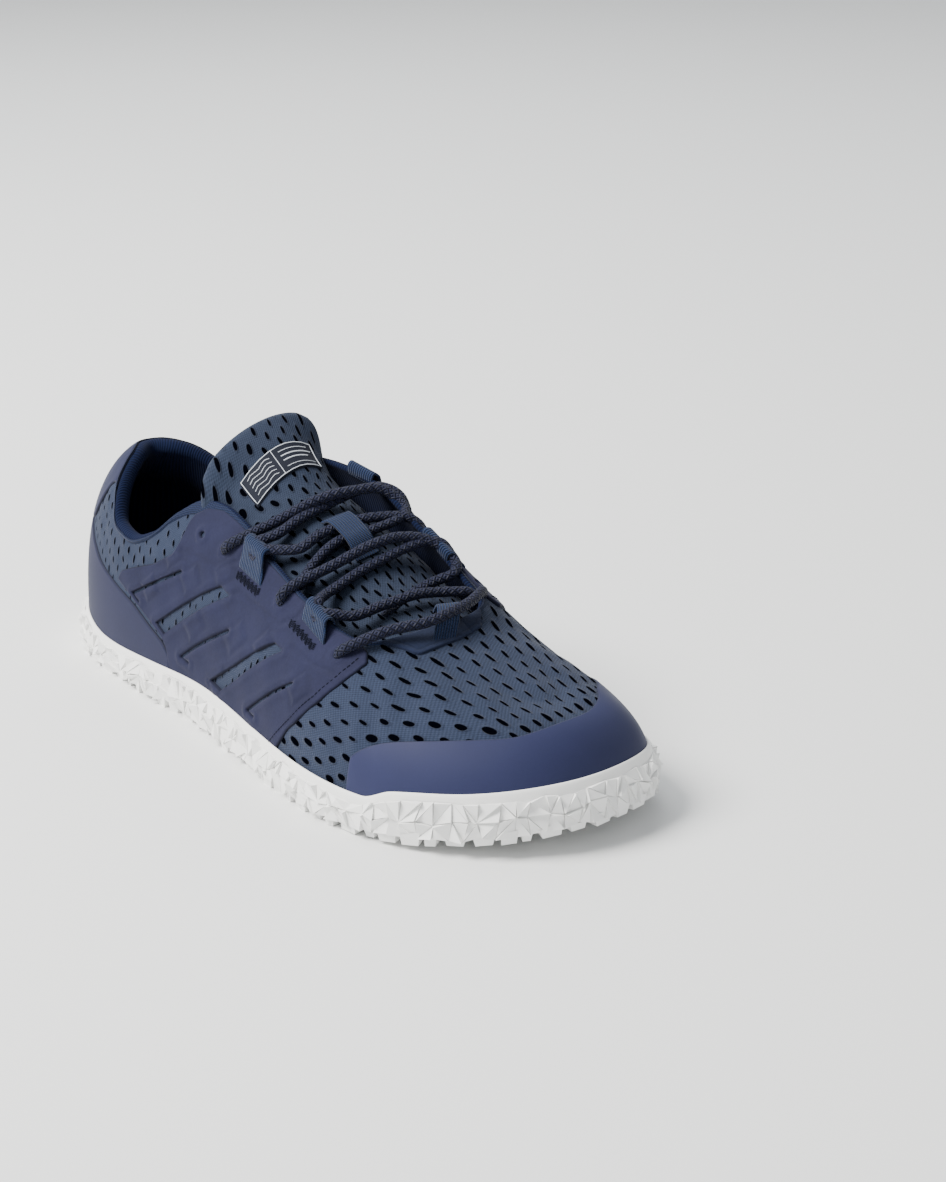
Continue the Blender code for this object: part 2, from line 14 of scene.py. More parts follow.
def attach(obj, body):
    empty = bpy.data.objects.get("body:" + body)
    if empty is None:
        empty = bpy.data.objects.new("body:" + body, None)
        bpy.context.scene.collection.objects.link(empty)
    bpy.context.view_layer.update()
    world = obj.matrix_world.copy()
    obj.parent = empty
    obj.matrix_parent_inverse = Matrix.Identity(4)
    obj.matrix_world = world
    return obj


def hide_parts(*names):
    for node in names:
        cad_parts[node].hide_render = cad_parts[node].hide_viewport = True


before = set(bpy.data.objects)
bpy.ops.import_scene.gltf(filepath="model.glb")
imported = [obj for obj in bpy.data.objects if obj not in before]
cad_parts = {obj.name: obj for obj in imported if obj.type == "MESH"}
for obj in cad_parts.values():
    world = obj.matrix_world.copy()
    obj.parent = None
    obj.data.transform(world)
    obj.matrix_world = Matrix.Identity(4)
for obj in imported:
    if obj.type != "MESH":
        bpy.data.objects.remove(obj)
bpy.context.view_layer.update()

PI = np.pi
MM = 0.001
RNG = np.random.default_rng(11)
CENTRE = (0.158, -0.198)
LAST_L, PLATFORM, TOE_SPRING, TOE_SLOPE, HEEL_BEVEL = 282.0, 6.5, 7.5, 0.30, 1.0
SOLE_FLARE = 3.0

OUTLINE = [
    (0.000, 0.0, 0.0), (0.040, 19.0, 19.5), (0.120, 29.5, 30.0), (0.250, 34.6, 32.5), (0.380, 36.8, 31.5),
    (0.500, 41.6, 35.0), (0.600, 46.8, 41.0), (0.700, 50.8, 47.6), (0.800, 49.8, 51.0), (0.880, 41.6, 49.5),
    (0.950, 26.2, 42.5), (0.985, 10.5, 32.5), (1.000, -10.0, -10.0),
]
SECTIONS = [
    (0.00, -94.0, -1.0, 88.0, 2.00, 2.80, 2.0, 2.8),
    (0.05, -92.0, -1.0, 88.0, 2.00, 2.80, 2.0, 2.8),
    (0.12, -86.0, -1.5, 90.0, 2.00, 2.70, 2.0, 2.8),
    (0.25, -66.0, -4.0, 96.0, 2.00, 2.30, 2.2, 3.0),
    (0.38, -34.0, -11.0, 98.5, 2.00, 2.00, 2.4, 3.6),
    (0.50, -2.0, -15.0, 93.0, 2.00, 1.80, 2.5, 4.0),
    (0.60, 24.0, -14.0, 81.0, 2.00, 1.95, 2.3, 3.0),
    (0.70, 49.0, -11.0, 66.0, 2.05, 2.20, 2.2, 2.6),
    (0.80, 73.0, -8.5, 54.5, 2.10, 2.30, 2.1, 2.4),
    (0.88, 90.0, -9.0, 48.5, 2.20, 2.20, 2.2, 2.3),
    (0.95, 100.0, -10.0, 45.5, 2.20, 2.10, 2.2, 2.2),
    (1.00, 104.0, -10.5, 44.6, 2.20, 2.10, 2.2, 2.1),
]
LIP = [(0.0, 16.7), (0.06, 14.7), (0.15, 12.5), (0.28, 14.2), (0.42, 16.3), (0.55, 14.8), (0.68, 14.0),
       (0.80, 14.2), (0.84, 18.4), (0.93, 21.5), (1.0, 24.4)]
OPENING = [
    (0.00, 0.730, 0.730), (0.02, 0.735, 0.740), (0.05, 0.710, 0.730), (0.08, 0.630, 0.690), (0.12, 0.465, 0.600),
    (0.16, 0.350, 0.500), (0.20, 0.335, 0.455), (0.25, 0.385, 0.470), (0.30, 0.505, 0.530), (0.34, 0.575, 0.590),
    (0.38, 0.585, 0.630), (0.42, 0.575, 0.660), (0.46, 0.560, 0.690), (0.50, 0.535, 0.710), (0.58, 0.530, 0.740),
    (0.66, 0.555, 0.745), (0.70, 0.590, 0.750), (0.73, 0.660, 0.770), (0.75, 0.770, 0.830), (0.765, 0.90, 0.92),
    (0.775, 1.0, 1.0), (1.0, 1.0, 1.0),
]
TONGUE = [
    (72.0, -4.0, 50.0, 17.0, 17.0, 1.0, 3.0, 0.0),
    (49.0, -1.5, 58.0, 26.0, 26.0, 3.0, 6.0, 0.0),
    (24.0, -1.5, 69.5, 27.5, 26.5, 5.0, 9.5, 0.0),
    (0.0, -2.5, 79.5, 26.5, 23.0, 6.8, 12.5, 0.0),
    (-16.0, -3.0, 88.5, 24.0, 19.0, 8.0, 15.5, 3.0),
    (-31.0, -3.5, 98.0, 22.0, 18.5, 9.0, 18.0, 6.0),
    (-41.0, -4.0, 104.5, 25.0, 23.5, 9.5, 11.0, 8.0),
]
COUNTER_TOP = [(0.0, 0.30), (0.049, 0.285), (0.09, 0.240), (0.128, 0.200), (0.174, 0.176), (0.23, 0.156),
               (0.278, 0.126), (0.307, 0.108), (0.33, 0.074)]
TOE_TOP_LATERAL = [(0.762, 0.12), (0.773, 0.203), (0.795, 0.283), (0.814, 0.328), (0.858, 0.406), (0.921, 0.492),
                   (0.96, 0.533), (0.982, 0.581), (1.0, 0.632)]
TOE_TOP_MEDIAL = [(0.782, 0.12), (0.790, 0.203), (0.805, 0.283), (0.822, 0.340), (0.865, 0.440), (0.91, 0.545),
                  (0.949, 0.628), (0.983, 0.650), (1.0, 0.632)]
# edge of a side cage as a closed walk of (station, v): sole line, front edge, throat edge, rear edge
CAGE_EDGE = [
    (0.186, 0.192), (0.23, 0.168), (0.278, 0.139), (0.307, 0.120), (0.331, 0.080), (0.343, 0.020), (0.350, -0.02),
    (0.45, -0.02), (0.588, -0.02), (0.597, 0.050), (0.657, 0.180), (0.694, 0.310), (0.715, 0.410), (0.731, 0.510),
    (0.7355, 0.560), (0.727, 0.592), (0.708, 0.598), (0.69, 0.578), (0.66, 0.549), (0.58, 0.524), (0.50, 0.529),
    (0.46, 0.552), (0.42, 0.565), (0.385, 0.572), (0.352, 0.556), (0.331, 0.517), (0.319, 0.470), (0.3205, 0.425),
    (0.310, 0.368), (0.268, 0.304), (0.212, 0.246), (0.192, 0.222),
]
# slots: rear lower end to upper end, window's second edge if the mesh shows through, hook at the rear end
SLOTS = [
    ((0.231, 0.186), (0.336, 0.331), None, (0.247, 0.175)),
    ((0.293, 0.150), (0.426, 0.367), ((0.312, 0.136), (0.447, 0.364)), None),
    ((0.357, 0.108), (0.464, 0.281), None, (0.375, 0.106)),
    ((0.436, 0.111), (0.573, 0.353), ((0.463, 0.110), (0.592, 0.352)), None),
    ((0.539, 0.117), (0.635, 0.294), None, (0.556, 0.112)),
]
SQUARES = [((0.349, 0.303), (0.373, 0.350)), ((0.469, 0.247), (0.498, 0.314)), ((0.640, 0.264), (0.662, 0.333)),
           ((0.262, 0.215), (0.283, 0.256)), ((0.372, 0.190), (0.397, 0.247)), ((0.300, 0.345), (0.322, 0.392)),
           ((0.415, 0.385), (0.440, 0.440)), ((0.540, 0.290), (0.562, 0.350)), ((0.470, 0.150), (0.440, 0.100))]
HOLES = [(0.415, 0.461), (0.557, 0.464), (0.691, 0.494)]


# ------------------------------------------------------------------ curves of the last
def ring_spline(t, y):
    t, y = np.asarray(t, float), np.asarray(y, float)
    n = len(t)
    h = np.diff(np.append(t, t[0] + 2 * PI))
    d = np.diff(np.append(y, y[0])) / h
    a, b = np.zeros((n, n)), np.zeros(n)
    for i in range(n):
        a[i, i - 1] += h[i - 1]
        a[i, i] += 2 * (h[i - 1] + h[i])
        a[i, (i + 1) % n] += h[i]
        b[i] = 6 * (d[i] - d[i - 1])
    m = np.linalg.solve(a, b)

    def f(x):
        x = (np.asarray(x, float) - t[0]) % (2 * PI) + t[0]
        i = np.clip(np.searchsorted(t, x, side="right") - 1, 0, n - 1)
        j = (i + 1) % n
        s, r = x - t[i], h[i] - (x - t[i])
        return ((m[i] * r ** 3 + m[j] * s ** 3) / (6 * h[i]) + (y[i] / h[i] - m[i] * h[i] / 6) * r
                + (y[j] / h[i] - m[j] * h[i] / 6) * s)
    return f


def curve(rows, col):
    x = np.array([r[0] for r in rows], float)
    y = np.array([r[col] for r in rows], float)
    h = np.diff(x)
    d = np.diff(y) / h
    n = len(x)
    m = np.zeros(n)
    for i in range(1, n - 1):
        if d[i - 1] * d[i] > 0:
            w1, w2 = 2 * h[i] + h[i - 1], h[i] + 2 * h[i - 1]
            m[i] = (w1 + w2) / (w1 / d[i - 1] + w2 / d[i])
    m[0], m[-1] = d[0], d[-1]

    def f(q):
        q = np.clip(np.asarray(q, float), x[0], x[-1])
        i = np.clip(np.searchsorted(x, q, side="right") - 1, 0, n - 2)
        s = (q - x[i]) / h[i]
        return ((2 * s ** 3 - 3 * s ** 2 + 1) * y[i] + (s ** 3 - 2 * s ** 2 + s) * h[i] * m[i]
                + (-2 * s ** 3 + 3 * s ** 2) * y[i + 1] + (s ** 3 - s ** 2) * h[i] * m[i + 1])
    return f


def angle(f):
    return np.arccos(1 - 2 * np.clip(f, 0, 1))


_t = [angle(r[0]) for r in OUTLINE] + [2 * PI - angle(r[0]) for r in OUTLINE[-2:0:-1]]
_x = [r[1] for r in OUTLINE] + [-r[2] for r in OUTLINE[-2:0:-1]]
outline_x = ring_spline(_t, _x)
crest_y, crest_x, crest_z, top_l, up_l, top_m, up_m = [curve(SECTIONS, i) for i in range(1, 8)]
lip_z = curve(LIP, 1)
open_l, open_m = curve(OPENING, 1), curve(OPENING, 2)


def station(phi):
    return (1 - np.cos(phi)) / 2


def lateral(phi):
    return 0.5 + 0.5 * np.clip(np.sin(phi) / 0.25, -1, 1)


def spring(y):
    f = (np.asarray(y, float) + LAST_L / 2) / LAST_L
    return TOE_SPRING * np.clip((f - 0.72) / 0.28, 0, 1) ** 2 + HEEL_BEVEL * np.clip((0.10 - f) / 0.10, 0, 1) ** 2


def outline(phi, out=0.0):
    def p(q):
        return np.stack([outline_x(q), -LAST_L / 2 * np.cos(q)], -1)
    phi = np.asarray(phi, float)
    t = p(phi + 1e-3) - p(phi - 1e-3)
    t /= np.linalg.norm(t, axis=-1, keepdims=True)
    return p(phi) + np.stack([t[..., 1], -t[..., 0]], -1) * np.asarray(out, float)[..., None]


def crest(phi):
    f = station(phi)
    return np.stack([crest_x(f), crest_y(f)], -1)


def opening(phi):
    f, s = station(phi), lateral(phi)
    return open_l(f) * s + open_m(f) * (1 - s)


def last(phi, v):
    phi, v = np.broadcast_arrays(np.asarray(phi, float), np.asarray(v, float))
    f, s = station(phi), lateral(phi)
    b = outline(phi)
    base = PLATFORM + spring(b[..., 1])
    n = top_l(f) * s + top_m(f) * (1 - s)
    m = up_l(f) * s + up_m(f) * (1 - s)
    th = np.clip(v, 0, 1) * PI / 2
    g = np.sin(th) ** (2 / m)
    h = 1 - np.cos(th) ** (2 / n)
    xy = b + (crest(phi) - b) * h[..., None]
    w = np.clip((f - 0.72) / 0.2, 0, 1) ** 2 * np.clip((h - 0.25) / 0.5, 0, 1) ** 2
    z = base + (crest_z(f) - base) * g - TOE_SLOPE * (xy[..., 1] - crest_y(f)) * w
    return np.concatenate([xy, z[..., None]], -1)


def smooth(x, a, b):
    t = np.clip((x - a) / (b - a), 0, 1)
    return t * t * (3 - 2 * t)


# soft troughs and ridges of the knit: station, v, half length along, half width across, direction, depth
CREASES = [
    (0.800, 0.62, 13.0, 2.6, -28.0, -0.55), (0.812, 0.50, 11.0, 2.4, -40.0, -0.45), (0.790, 0.38, 10.0, 2.2, -52.0, -0.4),
    (0.835, 0.80, 13.0, 3.4, -14.0, -0.45), (0.860, 0.62, 12.0, 3.0, -30.0, 0.35), (0.770, 0.28, 9.0, 2.2, -62.0, 0.4),
    (0.270, 0.30, 12.0, 2.6, 24.0, -0.5), (0.205, 0.27, 10.0, 2.4, 34.0, -0.45), (0.300, 0.44, 9.0, 2.4, 10.0, -0.35),
    (0.120, 0.36, 9.0, 2.6, 60.0, -0.4), (0.095, 0.45, 10.0, 3.0, 66.0, 0.4),
    (0.745, 0.20, 9.0, 2.6, -70.0, -0.4), (0.905, 0.75, 16.0, 4.0, -8.0, 0.35),
]


def creases(phi, v, p):
    """soft troughs and ridges, both sides of the shoe"""
    d = np.zeros(np.shape(v))
    for k, (f, w, a, b, deg, amp) in enumerate(CREASES):
        for side in (1, -1):
            q = side * angle(f)
            c = last(q, w)
            t1 = last(q + 0.01 * side, w) - c
            t1 /= np.linalg.norm(t1)
            t2 = last(q, w + 0.01) - c
            t2 -= t1 * (t2 @ t1)
            t2 /= np.linalg.norm(t2)
            r = np.radians(deg + (9 * np.sin(7.0 * k) if side < 0 else 0))
            e = p - c
            x, y = e @ t1, e @ t2
            u, s = x * np.cos(r) + y * np.sin(r), -x * np.sin(r) + y * np.cos(r)
            s = s + 0.012 * u * u * np.sin(3.0 * k + side)
            d += amp * np.exp(-(u / a) ** 2 - (s / b) ** 2) * np.exp(-((e * e).sum(-1) / (2.5 * a) ** 2))
    return d


def normal(phi, v):
    phi, v = np.broadcast_arrays(np.asarray(phi, float), np.asarray(v, float))
    v = np.clip(v, 0.004, 0.985)
    a = last(phi + 2e-3, v) - last(phi - 2e-3, v)
    b = last(phi, v + 2e-3) - last(phi, v - 2e-3)
    n = np.cross(a, b)
    return n / np.maximum(np.linalg.norm(n, axis=-1, keepdims=True), 1e-9)


def off(phi, v, d):
    p = last(phi, v)
    return p + normal(phi, v) * (np.asarray(d, float) + creases(phi, v, p))[..., None]


def v_at_height(phi, z):
    lo, hi = np.zeros(np.shape(phi)), np.full(np.shape(phi), 0.6)
    for _ in range(30):
        mid = (lo + hi) / 2
        low = last(phi, mid)[..., 2] < z
        lo, hi = np.where(low, mid, lo), np.where(low, hi, mid)
    return (lo + hi) / 2


_tg = [curve([(-r[0],) + r[1:] for r in TONGUE], i) for i in range(1, 8)]


def tongue(y, s, d=0.0):
    def p(y, s):
        xc, zc, wl, wm, tilt, crown, sweep = [q(-y) for q in _tg]
        return np.stack([xc + np.where(s > 0, wl, wm) * s, y - sweep * s, zc - tilt * s - crown * s * s], -1)
    y, s = np.broadcast_arrays(np.asarray(y, float), np.asarray(s, float))
    n = np.cross(p(y, s + 1e-3) - p(y, s - 1e-3), p(y + 1e-2, s) - p(y - 1e-2, s))
    n /= np.linalg.norm(n, axis=-1, keepdims=True)
    n *= np.sign(n[..., 2:3])
    return p(y, s) + n * np.asarray(d, float)[..., None]


# ------------------------------------------------------------------ distances
def to_line(p, line, closed=False):
    """distance from points to a polyline, and the arc length of the nearest point on it"""
    line = np.asarray(line, float)
    if closed:
        line = np.vstack([line, line[:1]])
    best, at = np.full(p.shape[:-1], 1e9), np.zeros(p.shape[:-1])
    run = 0.0
    for a, b in zip(line, line[1:]):
        ab = b - a
        l2 = max(ab @ ab, 1e-12)
        t = np.clip(((p - a) @ ab) / l2, 0, 1)
        d = np.linalg.norm(p - (a + t[..., None] * ab), axis=-1)
        near = d < best
        best = np.where(near, d, best)
        at = np.where(near, run + t * np.sqrt(l2), at)
        run += np.sqrt(l2)
    return best, at


def inside(f, v, poly):
    """point in polygon in (station, v)"""
    poly = np.asarray(poly, float)
    c = np.zeros(np.shape(f), bool)
    for (x0, y0), (x1, y1) in zip(poly, np.roll(poly, -1, 0)):
        if y0 == y1:
            continue
        hit = ((y0 > v) != (y1 > v)) & (f < (x1 - x0) * (v - y0) / (y1 - y0) + x0)
        c ^= hit
    return c


def walk(poly, side, steps=6, closed=False, rounded=0):
    """(station, v) points as a fine 3D line on the last"""
    poly = np.asarray(poly, float)
    if closed:
        poly = np.vstack([poly, poly[:1]])
    q = []
    for a, b in zip(poly, poly[1:]):
        for t in np.arange(steps) / steps:
            q.append(a + (b - a) * t)
    q.append(poly[-1])
    q = np.array(q)
    return last(side * angle(q[:, 0]), vm(side, q[:, 0], q[:, 1]))


def vm(side, f, v):
    """v on this side: the medial throat edge sits higher, so what follows it does too"""
    if side > 0:
        return v
    lift = np.clip(open_m(f) - open_l(f), 0, 1) * np.clip((f - 0.30) / 0.10, 0, 1)
    return v + lift * smooth(np.asarray(v, float), 0.22, 0.5)


# ------------------------------------------------------------------ meshes
def build(name, verts, faces, uv=None, attrs=None, mats=(), face_mat=None, flat=False):
    """verts (n, 3) in mm, faces (m, 4) or (m, 3), uv per face corner (m, k, 2), attrs {name: per vertex}"""
    verts = (np.asarray(verts, float) - np.array([CENTRE[0], CENTRE[1], 0])) * MM
    faces = np.asarray(faces, int)
    me = bpy.data.meshes.new(name)
    me.vertices.add(len(verts))
    me.vertices.foreach_set("co", verts.astype(np.float32).ravel())
    k = faces.shape[1]
    me.loops.add(faces.size)
    me.loops.foreach_set("vertex_index", faces.astype(np.int32).ravel())
    me.polygons.add(len(faces))
    me.polygons.foreach_set("loop_start", np.arange(0, faces.size, k, dtype=np.int32))
    me.polygons.foreach_set("loop_total", np.full(len(faces), k, np.int32))
    if face_mat is not None:
        me.polygons.foreach_set("material_index", np.asarray(face_mat, np.int32))
    me.update(calc_edges=True)
    me.polygons.foreach_set("use_smooth", np.full(len(faces), not flat))
    if uv is not None:
        layer = me.uv_layers.new(name="chart")
        layer.data.foreach_set("uv", np.asarray(uv, np.float32).ravel())
    for nm, val in (attrs or {}).items():
        a = me.attributes.new(nm, "FLOAT", "POINT")
        a.data.foreach_set("value", np.asarray(val, np.float32).ravel())
    for m in mats:
        me.materials.append(m)
    ob = bpy.data.objects.new(name, me)
    bpy.context.scene.collection.objects.link(ob)
    return ob


def quads(n, m, ring=False, flip=False):
    i, j = np.meshgrid(np.arange(n if ring else n - 1), np.arange(m - 1), indexing="ij")
    a = i * m + j
    b = ((i + 1) % n) * m + j
    q = np.stack([a, b, b + 1, a + 1], -1).reshape(-1, 4)
    return q[:, ::-1] if flip else q


def grid(name, P, uv=None, attrs=None, mats=(), ring=False, flip=False, keep=None, face_mat=None):
    """surface from an (n, m, 3) grid; uv (n, m, 2), or (n + 1, m, 2) on a ring"""
    n, m = P.shape[:2]
    q = quads(n, m, ring)
    luv = None
    if uv is not None:
        i, j = np.meshgrid(np.arange(n if ring else n - 1), np.arange(m - 1), indexing="ij")
        luv = np.stack([uv[i, j], uv[i + 1, j], uv[i + 1, j + 1], uv[i, j + 1]], -2).reshape(-1, 4, 2)
    if keep is not None:
        k = keep.ravel()
        q = q[k]
        luv = luv[k] if luv is not None else None
        face_mat = face_mat[k] if face_mat is not None else None
    if flip:
        q = q[:, ::-1]
        luv = luv[:, ::-1] if luv is not None else None
    return build(name, P.reshape(-1, 3), q, luv, {k: np.asarray(v).ravel() for k, v in (attrs or {}).items()}, mats,
                 face_mat)


def sweep(path, radius, sides=12, up=(0, 0, 1), flat=1.0):
    """tube points along a path (n, 3): (n, sides, 3), its arc length, kept from twisting"""
    path = np.asarray(path, float)
    tan = np.gradient(path, axis=0)
    tan /= np.linalg.norm(tan, axis=1, keepdims=True)
    r = np.broadcast_to(np.asarray(radius, float), (len(path),))
    out, ref = [], np.array(up, float)
    for c, t, rr in zip(path, tan, r):
        a = np.cross(t, ref)
        a /= max(np.linalg.norm(a), 1e-9)
        b = np.cross(a, t)
        ref = b
        w = np.arange(sides) * 2 * PI / sides
        out.append(c + rr * (np.cos(w)[:, None] * a + flat * np.sin(w)[:, None] * b))
    s = np.concatenate([[0], np.cumsum(np.linalg.norm(np.diff(path, axis=0), axis=1))])
    return np.array(out), s


def spline(pts, step=0.8, end=True):
    """even centripetal spline through points"""
    p = np.asarray(pts, float)
    q = np.vstack([2 * p[0] - p[1], p, 2 * p[-1] - p[-2]])
    out = []
    for i in range(1, len(q) - 2):
        p0, p1, p2, p3 = q[i - 1:i + 3]
        t0 = 0.0
        t1 = t0 + np.linalg.norm(p1 - p0) ** 0.5 + 1e-6
        t2 = t1 + np.linalg.norm(p2 - p1) ** 0.5 + 1e-6
        t3 = t2 + np.linalg.norm(p3 - p2) ** 0.5 + 1e-6
        n = max(2, int(np.linalg.norm(p2 - p1) / step))
        for t in t1 + (t2 - t1) * np.arange(n) / n:
            a1 = (t1 - t) / (t1 - t0) * p0 + (t - t0) / (t1 - t0) * p1
            a2 = (t2 - t) / (t2 - t1) * p1 + (t - t1) / (t2 - t1) * p2
            a3 = (t3 - t) / (t3 - t2) * p2 + (t - t2) / (t3 - t2) * p3
            b1 = (t2 - t) / (t2 - t0) * a1 + (t - t0) / (t2 - t0) * a2
            b2 = (t3 - t) / (t3 - t1) * a2 + (t - t1) / (t3 - t1) * a3
            out.append((t2 - t) / (t2 - t1) * b1 + (t - t1) / (t2 - t1) * b2)
    out.append(p[-1])
    return np.array(out)


def tube(name, path, radius, mat, sides=12, flat=1.0, caps=True, up=(0, 0, 1), uv_scale=1.0):
    P, s = sweep(path, radius, sides, up, flat)
    if caps:                                         # rounded ends
        c0, c1 = np.asarray(path[0], float), np.asarray(path[-1], float)
        t0, t1 = path[0] - path[1], path[-1] - path[-2]
        t0, t1 = t0 / np.linalg.norm(t0), t1 / np.linalg.norm(t1)
        r = np.broadcast_to(np.asarray(radius, float), (len(P),))
        a = [c0 + (P[0] - c0) * k + t0 * r[0] * h for k, h in ((0.05, 0.7), (0.55, 0.6), (0.86, 0.35))]
        b = [c1 + (P[-1] - c1) * k + t1 * r[-1] * h for k, h in ((0.86, 0.35), (0.55, 0.6), (0.05, 0.7))]
        P = np.concatenate([np.array(a), P, np.array(b)])
        s = np.concatenate([s[0] - np.array([1.6, 1.1, 0.6]), s, s[-1] + np.array([0.6, 1.1, 1.6])])
    P = P.transpose(1, 0, 2)                          # ring direction first
    n, m = P.shape[:2]
    U = np.repeat((np.arange(n + 1) / n)[:, None], m, 1)
    V = np.repeat((s * uv_scale)[None], n + 1, 0)
    return grid(name, P, np.stack([U, V], -1), None, [mat], ring=True, flip=False)


def put(ob, nodes=()):
    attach(ob, "root")
    if nodes:
        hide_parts(*nodes)
    return ob


def at_xy(x, y):
    """(phi, v) on the last over a plan point"""
    x, y = np.broadcast_arrays(np.asarray(x, float), np.asarray(y, float))
    ky = np.array([r[1] for r in SECTIONS])
    kf = np.array([r[0] for r in SECTIONS])
    cx = np.where(y < 104, crest_x(np.interp(y, ky, kf)), -10.5)
    side = np.where(x >= cx, 1.0, -1.0)
    lo, hi = np.full(x.shape, 0.02), np.full(x.shape, PI - 1e-4)

    def g(q):
        b, c = outline(side * q), crest(side * q)
        return ((c[..., 0] - b[..., 0]) * (y - b[..., 1]) - (c[..., 1] - b[..., 1]) * (x - b[..., 0])) * side
    glo = g(lo)
    for _ in range(34):
        mid = (lo + hi) / 2
        same = np.sign(g(mid)) == np.sign(glo)
        lo, hi = np.where(same, mid, lo), np.where(same, hi, mid)
    q = (lo + hi) / 2
    b, c = outline(side * q), crest(side * q)
    d = c - b
    h = np.clip(((x - b[..., 0]) * d[..., 0] + (y - b[..., 1]) * d[..., 1]) / (d ** 2).sum(-1), 0, 1)
    f, s = station(q), lateral(side * q)
    n = top_l(f) * s + top_m(f) * (1 - s)
    v = np.arccos(np.clip(1 - h, 0, 1) ** (n / 2)) / (PI / 2)
    return side * q, v


def draped(x, y, d):
    """points at a height over the last above plan points"""
    q, v = at_xy(x, y)
    p = last(q, v)
    n = normal(q, v)
    return np.stack([x, y, p[..., 2]], -1) + n * (np.asarray(d, float) + creases(q, v, p))[..., None]


# chart of the last in mm: across from the crest (lateral +) and along the shoe
_CP = np.linspace(-PI, PI, 721)
_CV = np.linspace(0, 1, 161)
_cp, _cv = np.meshgrid(_CP, _CV, indexing="ij")
_S = last(_cp, _cv)
_N = normal((_cp[:, 1:] + _cp[:, :-1]) / 2, (_cv[:, 1:] + _cv[:, :-1]) / 2)
_d = np.diff(_S, axis=1)
_nxy = np.maximum(np.hypot(_N[..., 0], _N[..., 1]), 1e-6)
_dw = np.hypot(_d[..., 0], _d[..., 2] * np.abs(_N[..., 0]) / _nxy)
_du = np.hypot(_d[..., 1], _d[..., 2] * np.abs(_N[..., 1]) / _nxy) * np.sign(_d[..., 1])
_W = np.zeros(_cp.shape)
_U = np.zeros(_cp.shape)
_W[:, :-1] = np.cumsum(_dw[:, ::-1], 1)[:, ::-1] * np.where(np.sin(_CP) >= 0, 1, -1)[:, None]
_U[:, :-1] = -np.cumsum(_du[:, ::-1], 1)[:, ::-1]
_U += (1.06 * crest_y(station(_CP)))[:, None]


def chart(phi, v):
    phi = (np.asarray(phi, float) + PI) % (2 * PI) - PI
    i = np.clip((phi + PI) / (2 * PI) * 720, 0, 719.999)
    j = np.clip(np.asarray(v, float) * 160, 0, 159.999)
    a, b = i.astype(int), j.astype(int)
    s, t = i - a, j - b

    def mix(T):
        return (T[a, b] * (1 - s) + T[a + 1, b] * s) * (1 - t) + (T[a, b + 1] * (1 - s) + T[a + 1, b + 1] * s) * t
    return mix(_W), mix(_U)


# ------------------------------------------------------------------ materials
class Ex:
    """a shader value that can be added, multiplied and so on"""

    def __init__(self, tree, sock):
        self.t, self.s = tree, sock

    def op(self, kind, *others, clamp=False):
        n = self.t.nodes.new("ShaderNodeMath")
        n.operation = kind
        n.use_clamp = clamp
        self.t.links.new(self.s, n.inputs[0])
        for k, o in enumerate(others):
            if isinstance(o, Ex):
                self.t.links.new(o.s, n.inputs[k + 1])
            else:
                n.inputs[k + 1].default_value = o
        return Ex(self.t, n.outputs[0])

    def __add__(self, o):
        return self.op("ADD", o)

    def __sub__(self, o):
        return self.op("SUBTRACT", o)

    def __mul__(self, o):
        return self.op("MULTIPLY", o)

    def __truediv__(self, o):
        return self.op("DIVIDE", o)

    def fract(self):
        return self.op("FRACT")

    def floor(self):
        return self.op("FLOOR")

    def sin(self):
        return self.op("SINE")

    def abs(self):
        return self.op("ABSOLUTE")

    def pow(self, o):
        return self.op("POWER", o)

    def min(self, o):
        return self.op("MINIMUM", o)

    def max(self, o):
        return self.op("MAXIMUM", o)

    def step(self, a, b, to0=0.0, to1=1.0):
        n = self.t.nodes.new("ShaderNodeMapRange")
        n.interpolation_type = "SMOOTHSTEP"
        self.t.links.new(self.s, n.inputs["Value"])
        for nm, x in (("From Min", a), ("From Max", b), ("To Min", to0), ("To Max", to1)):
            n.inputs[nm].default_value = x
        return Ex(self.t, n.outputs["Result"])


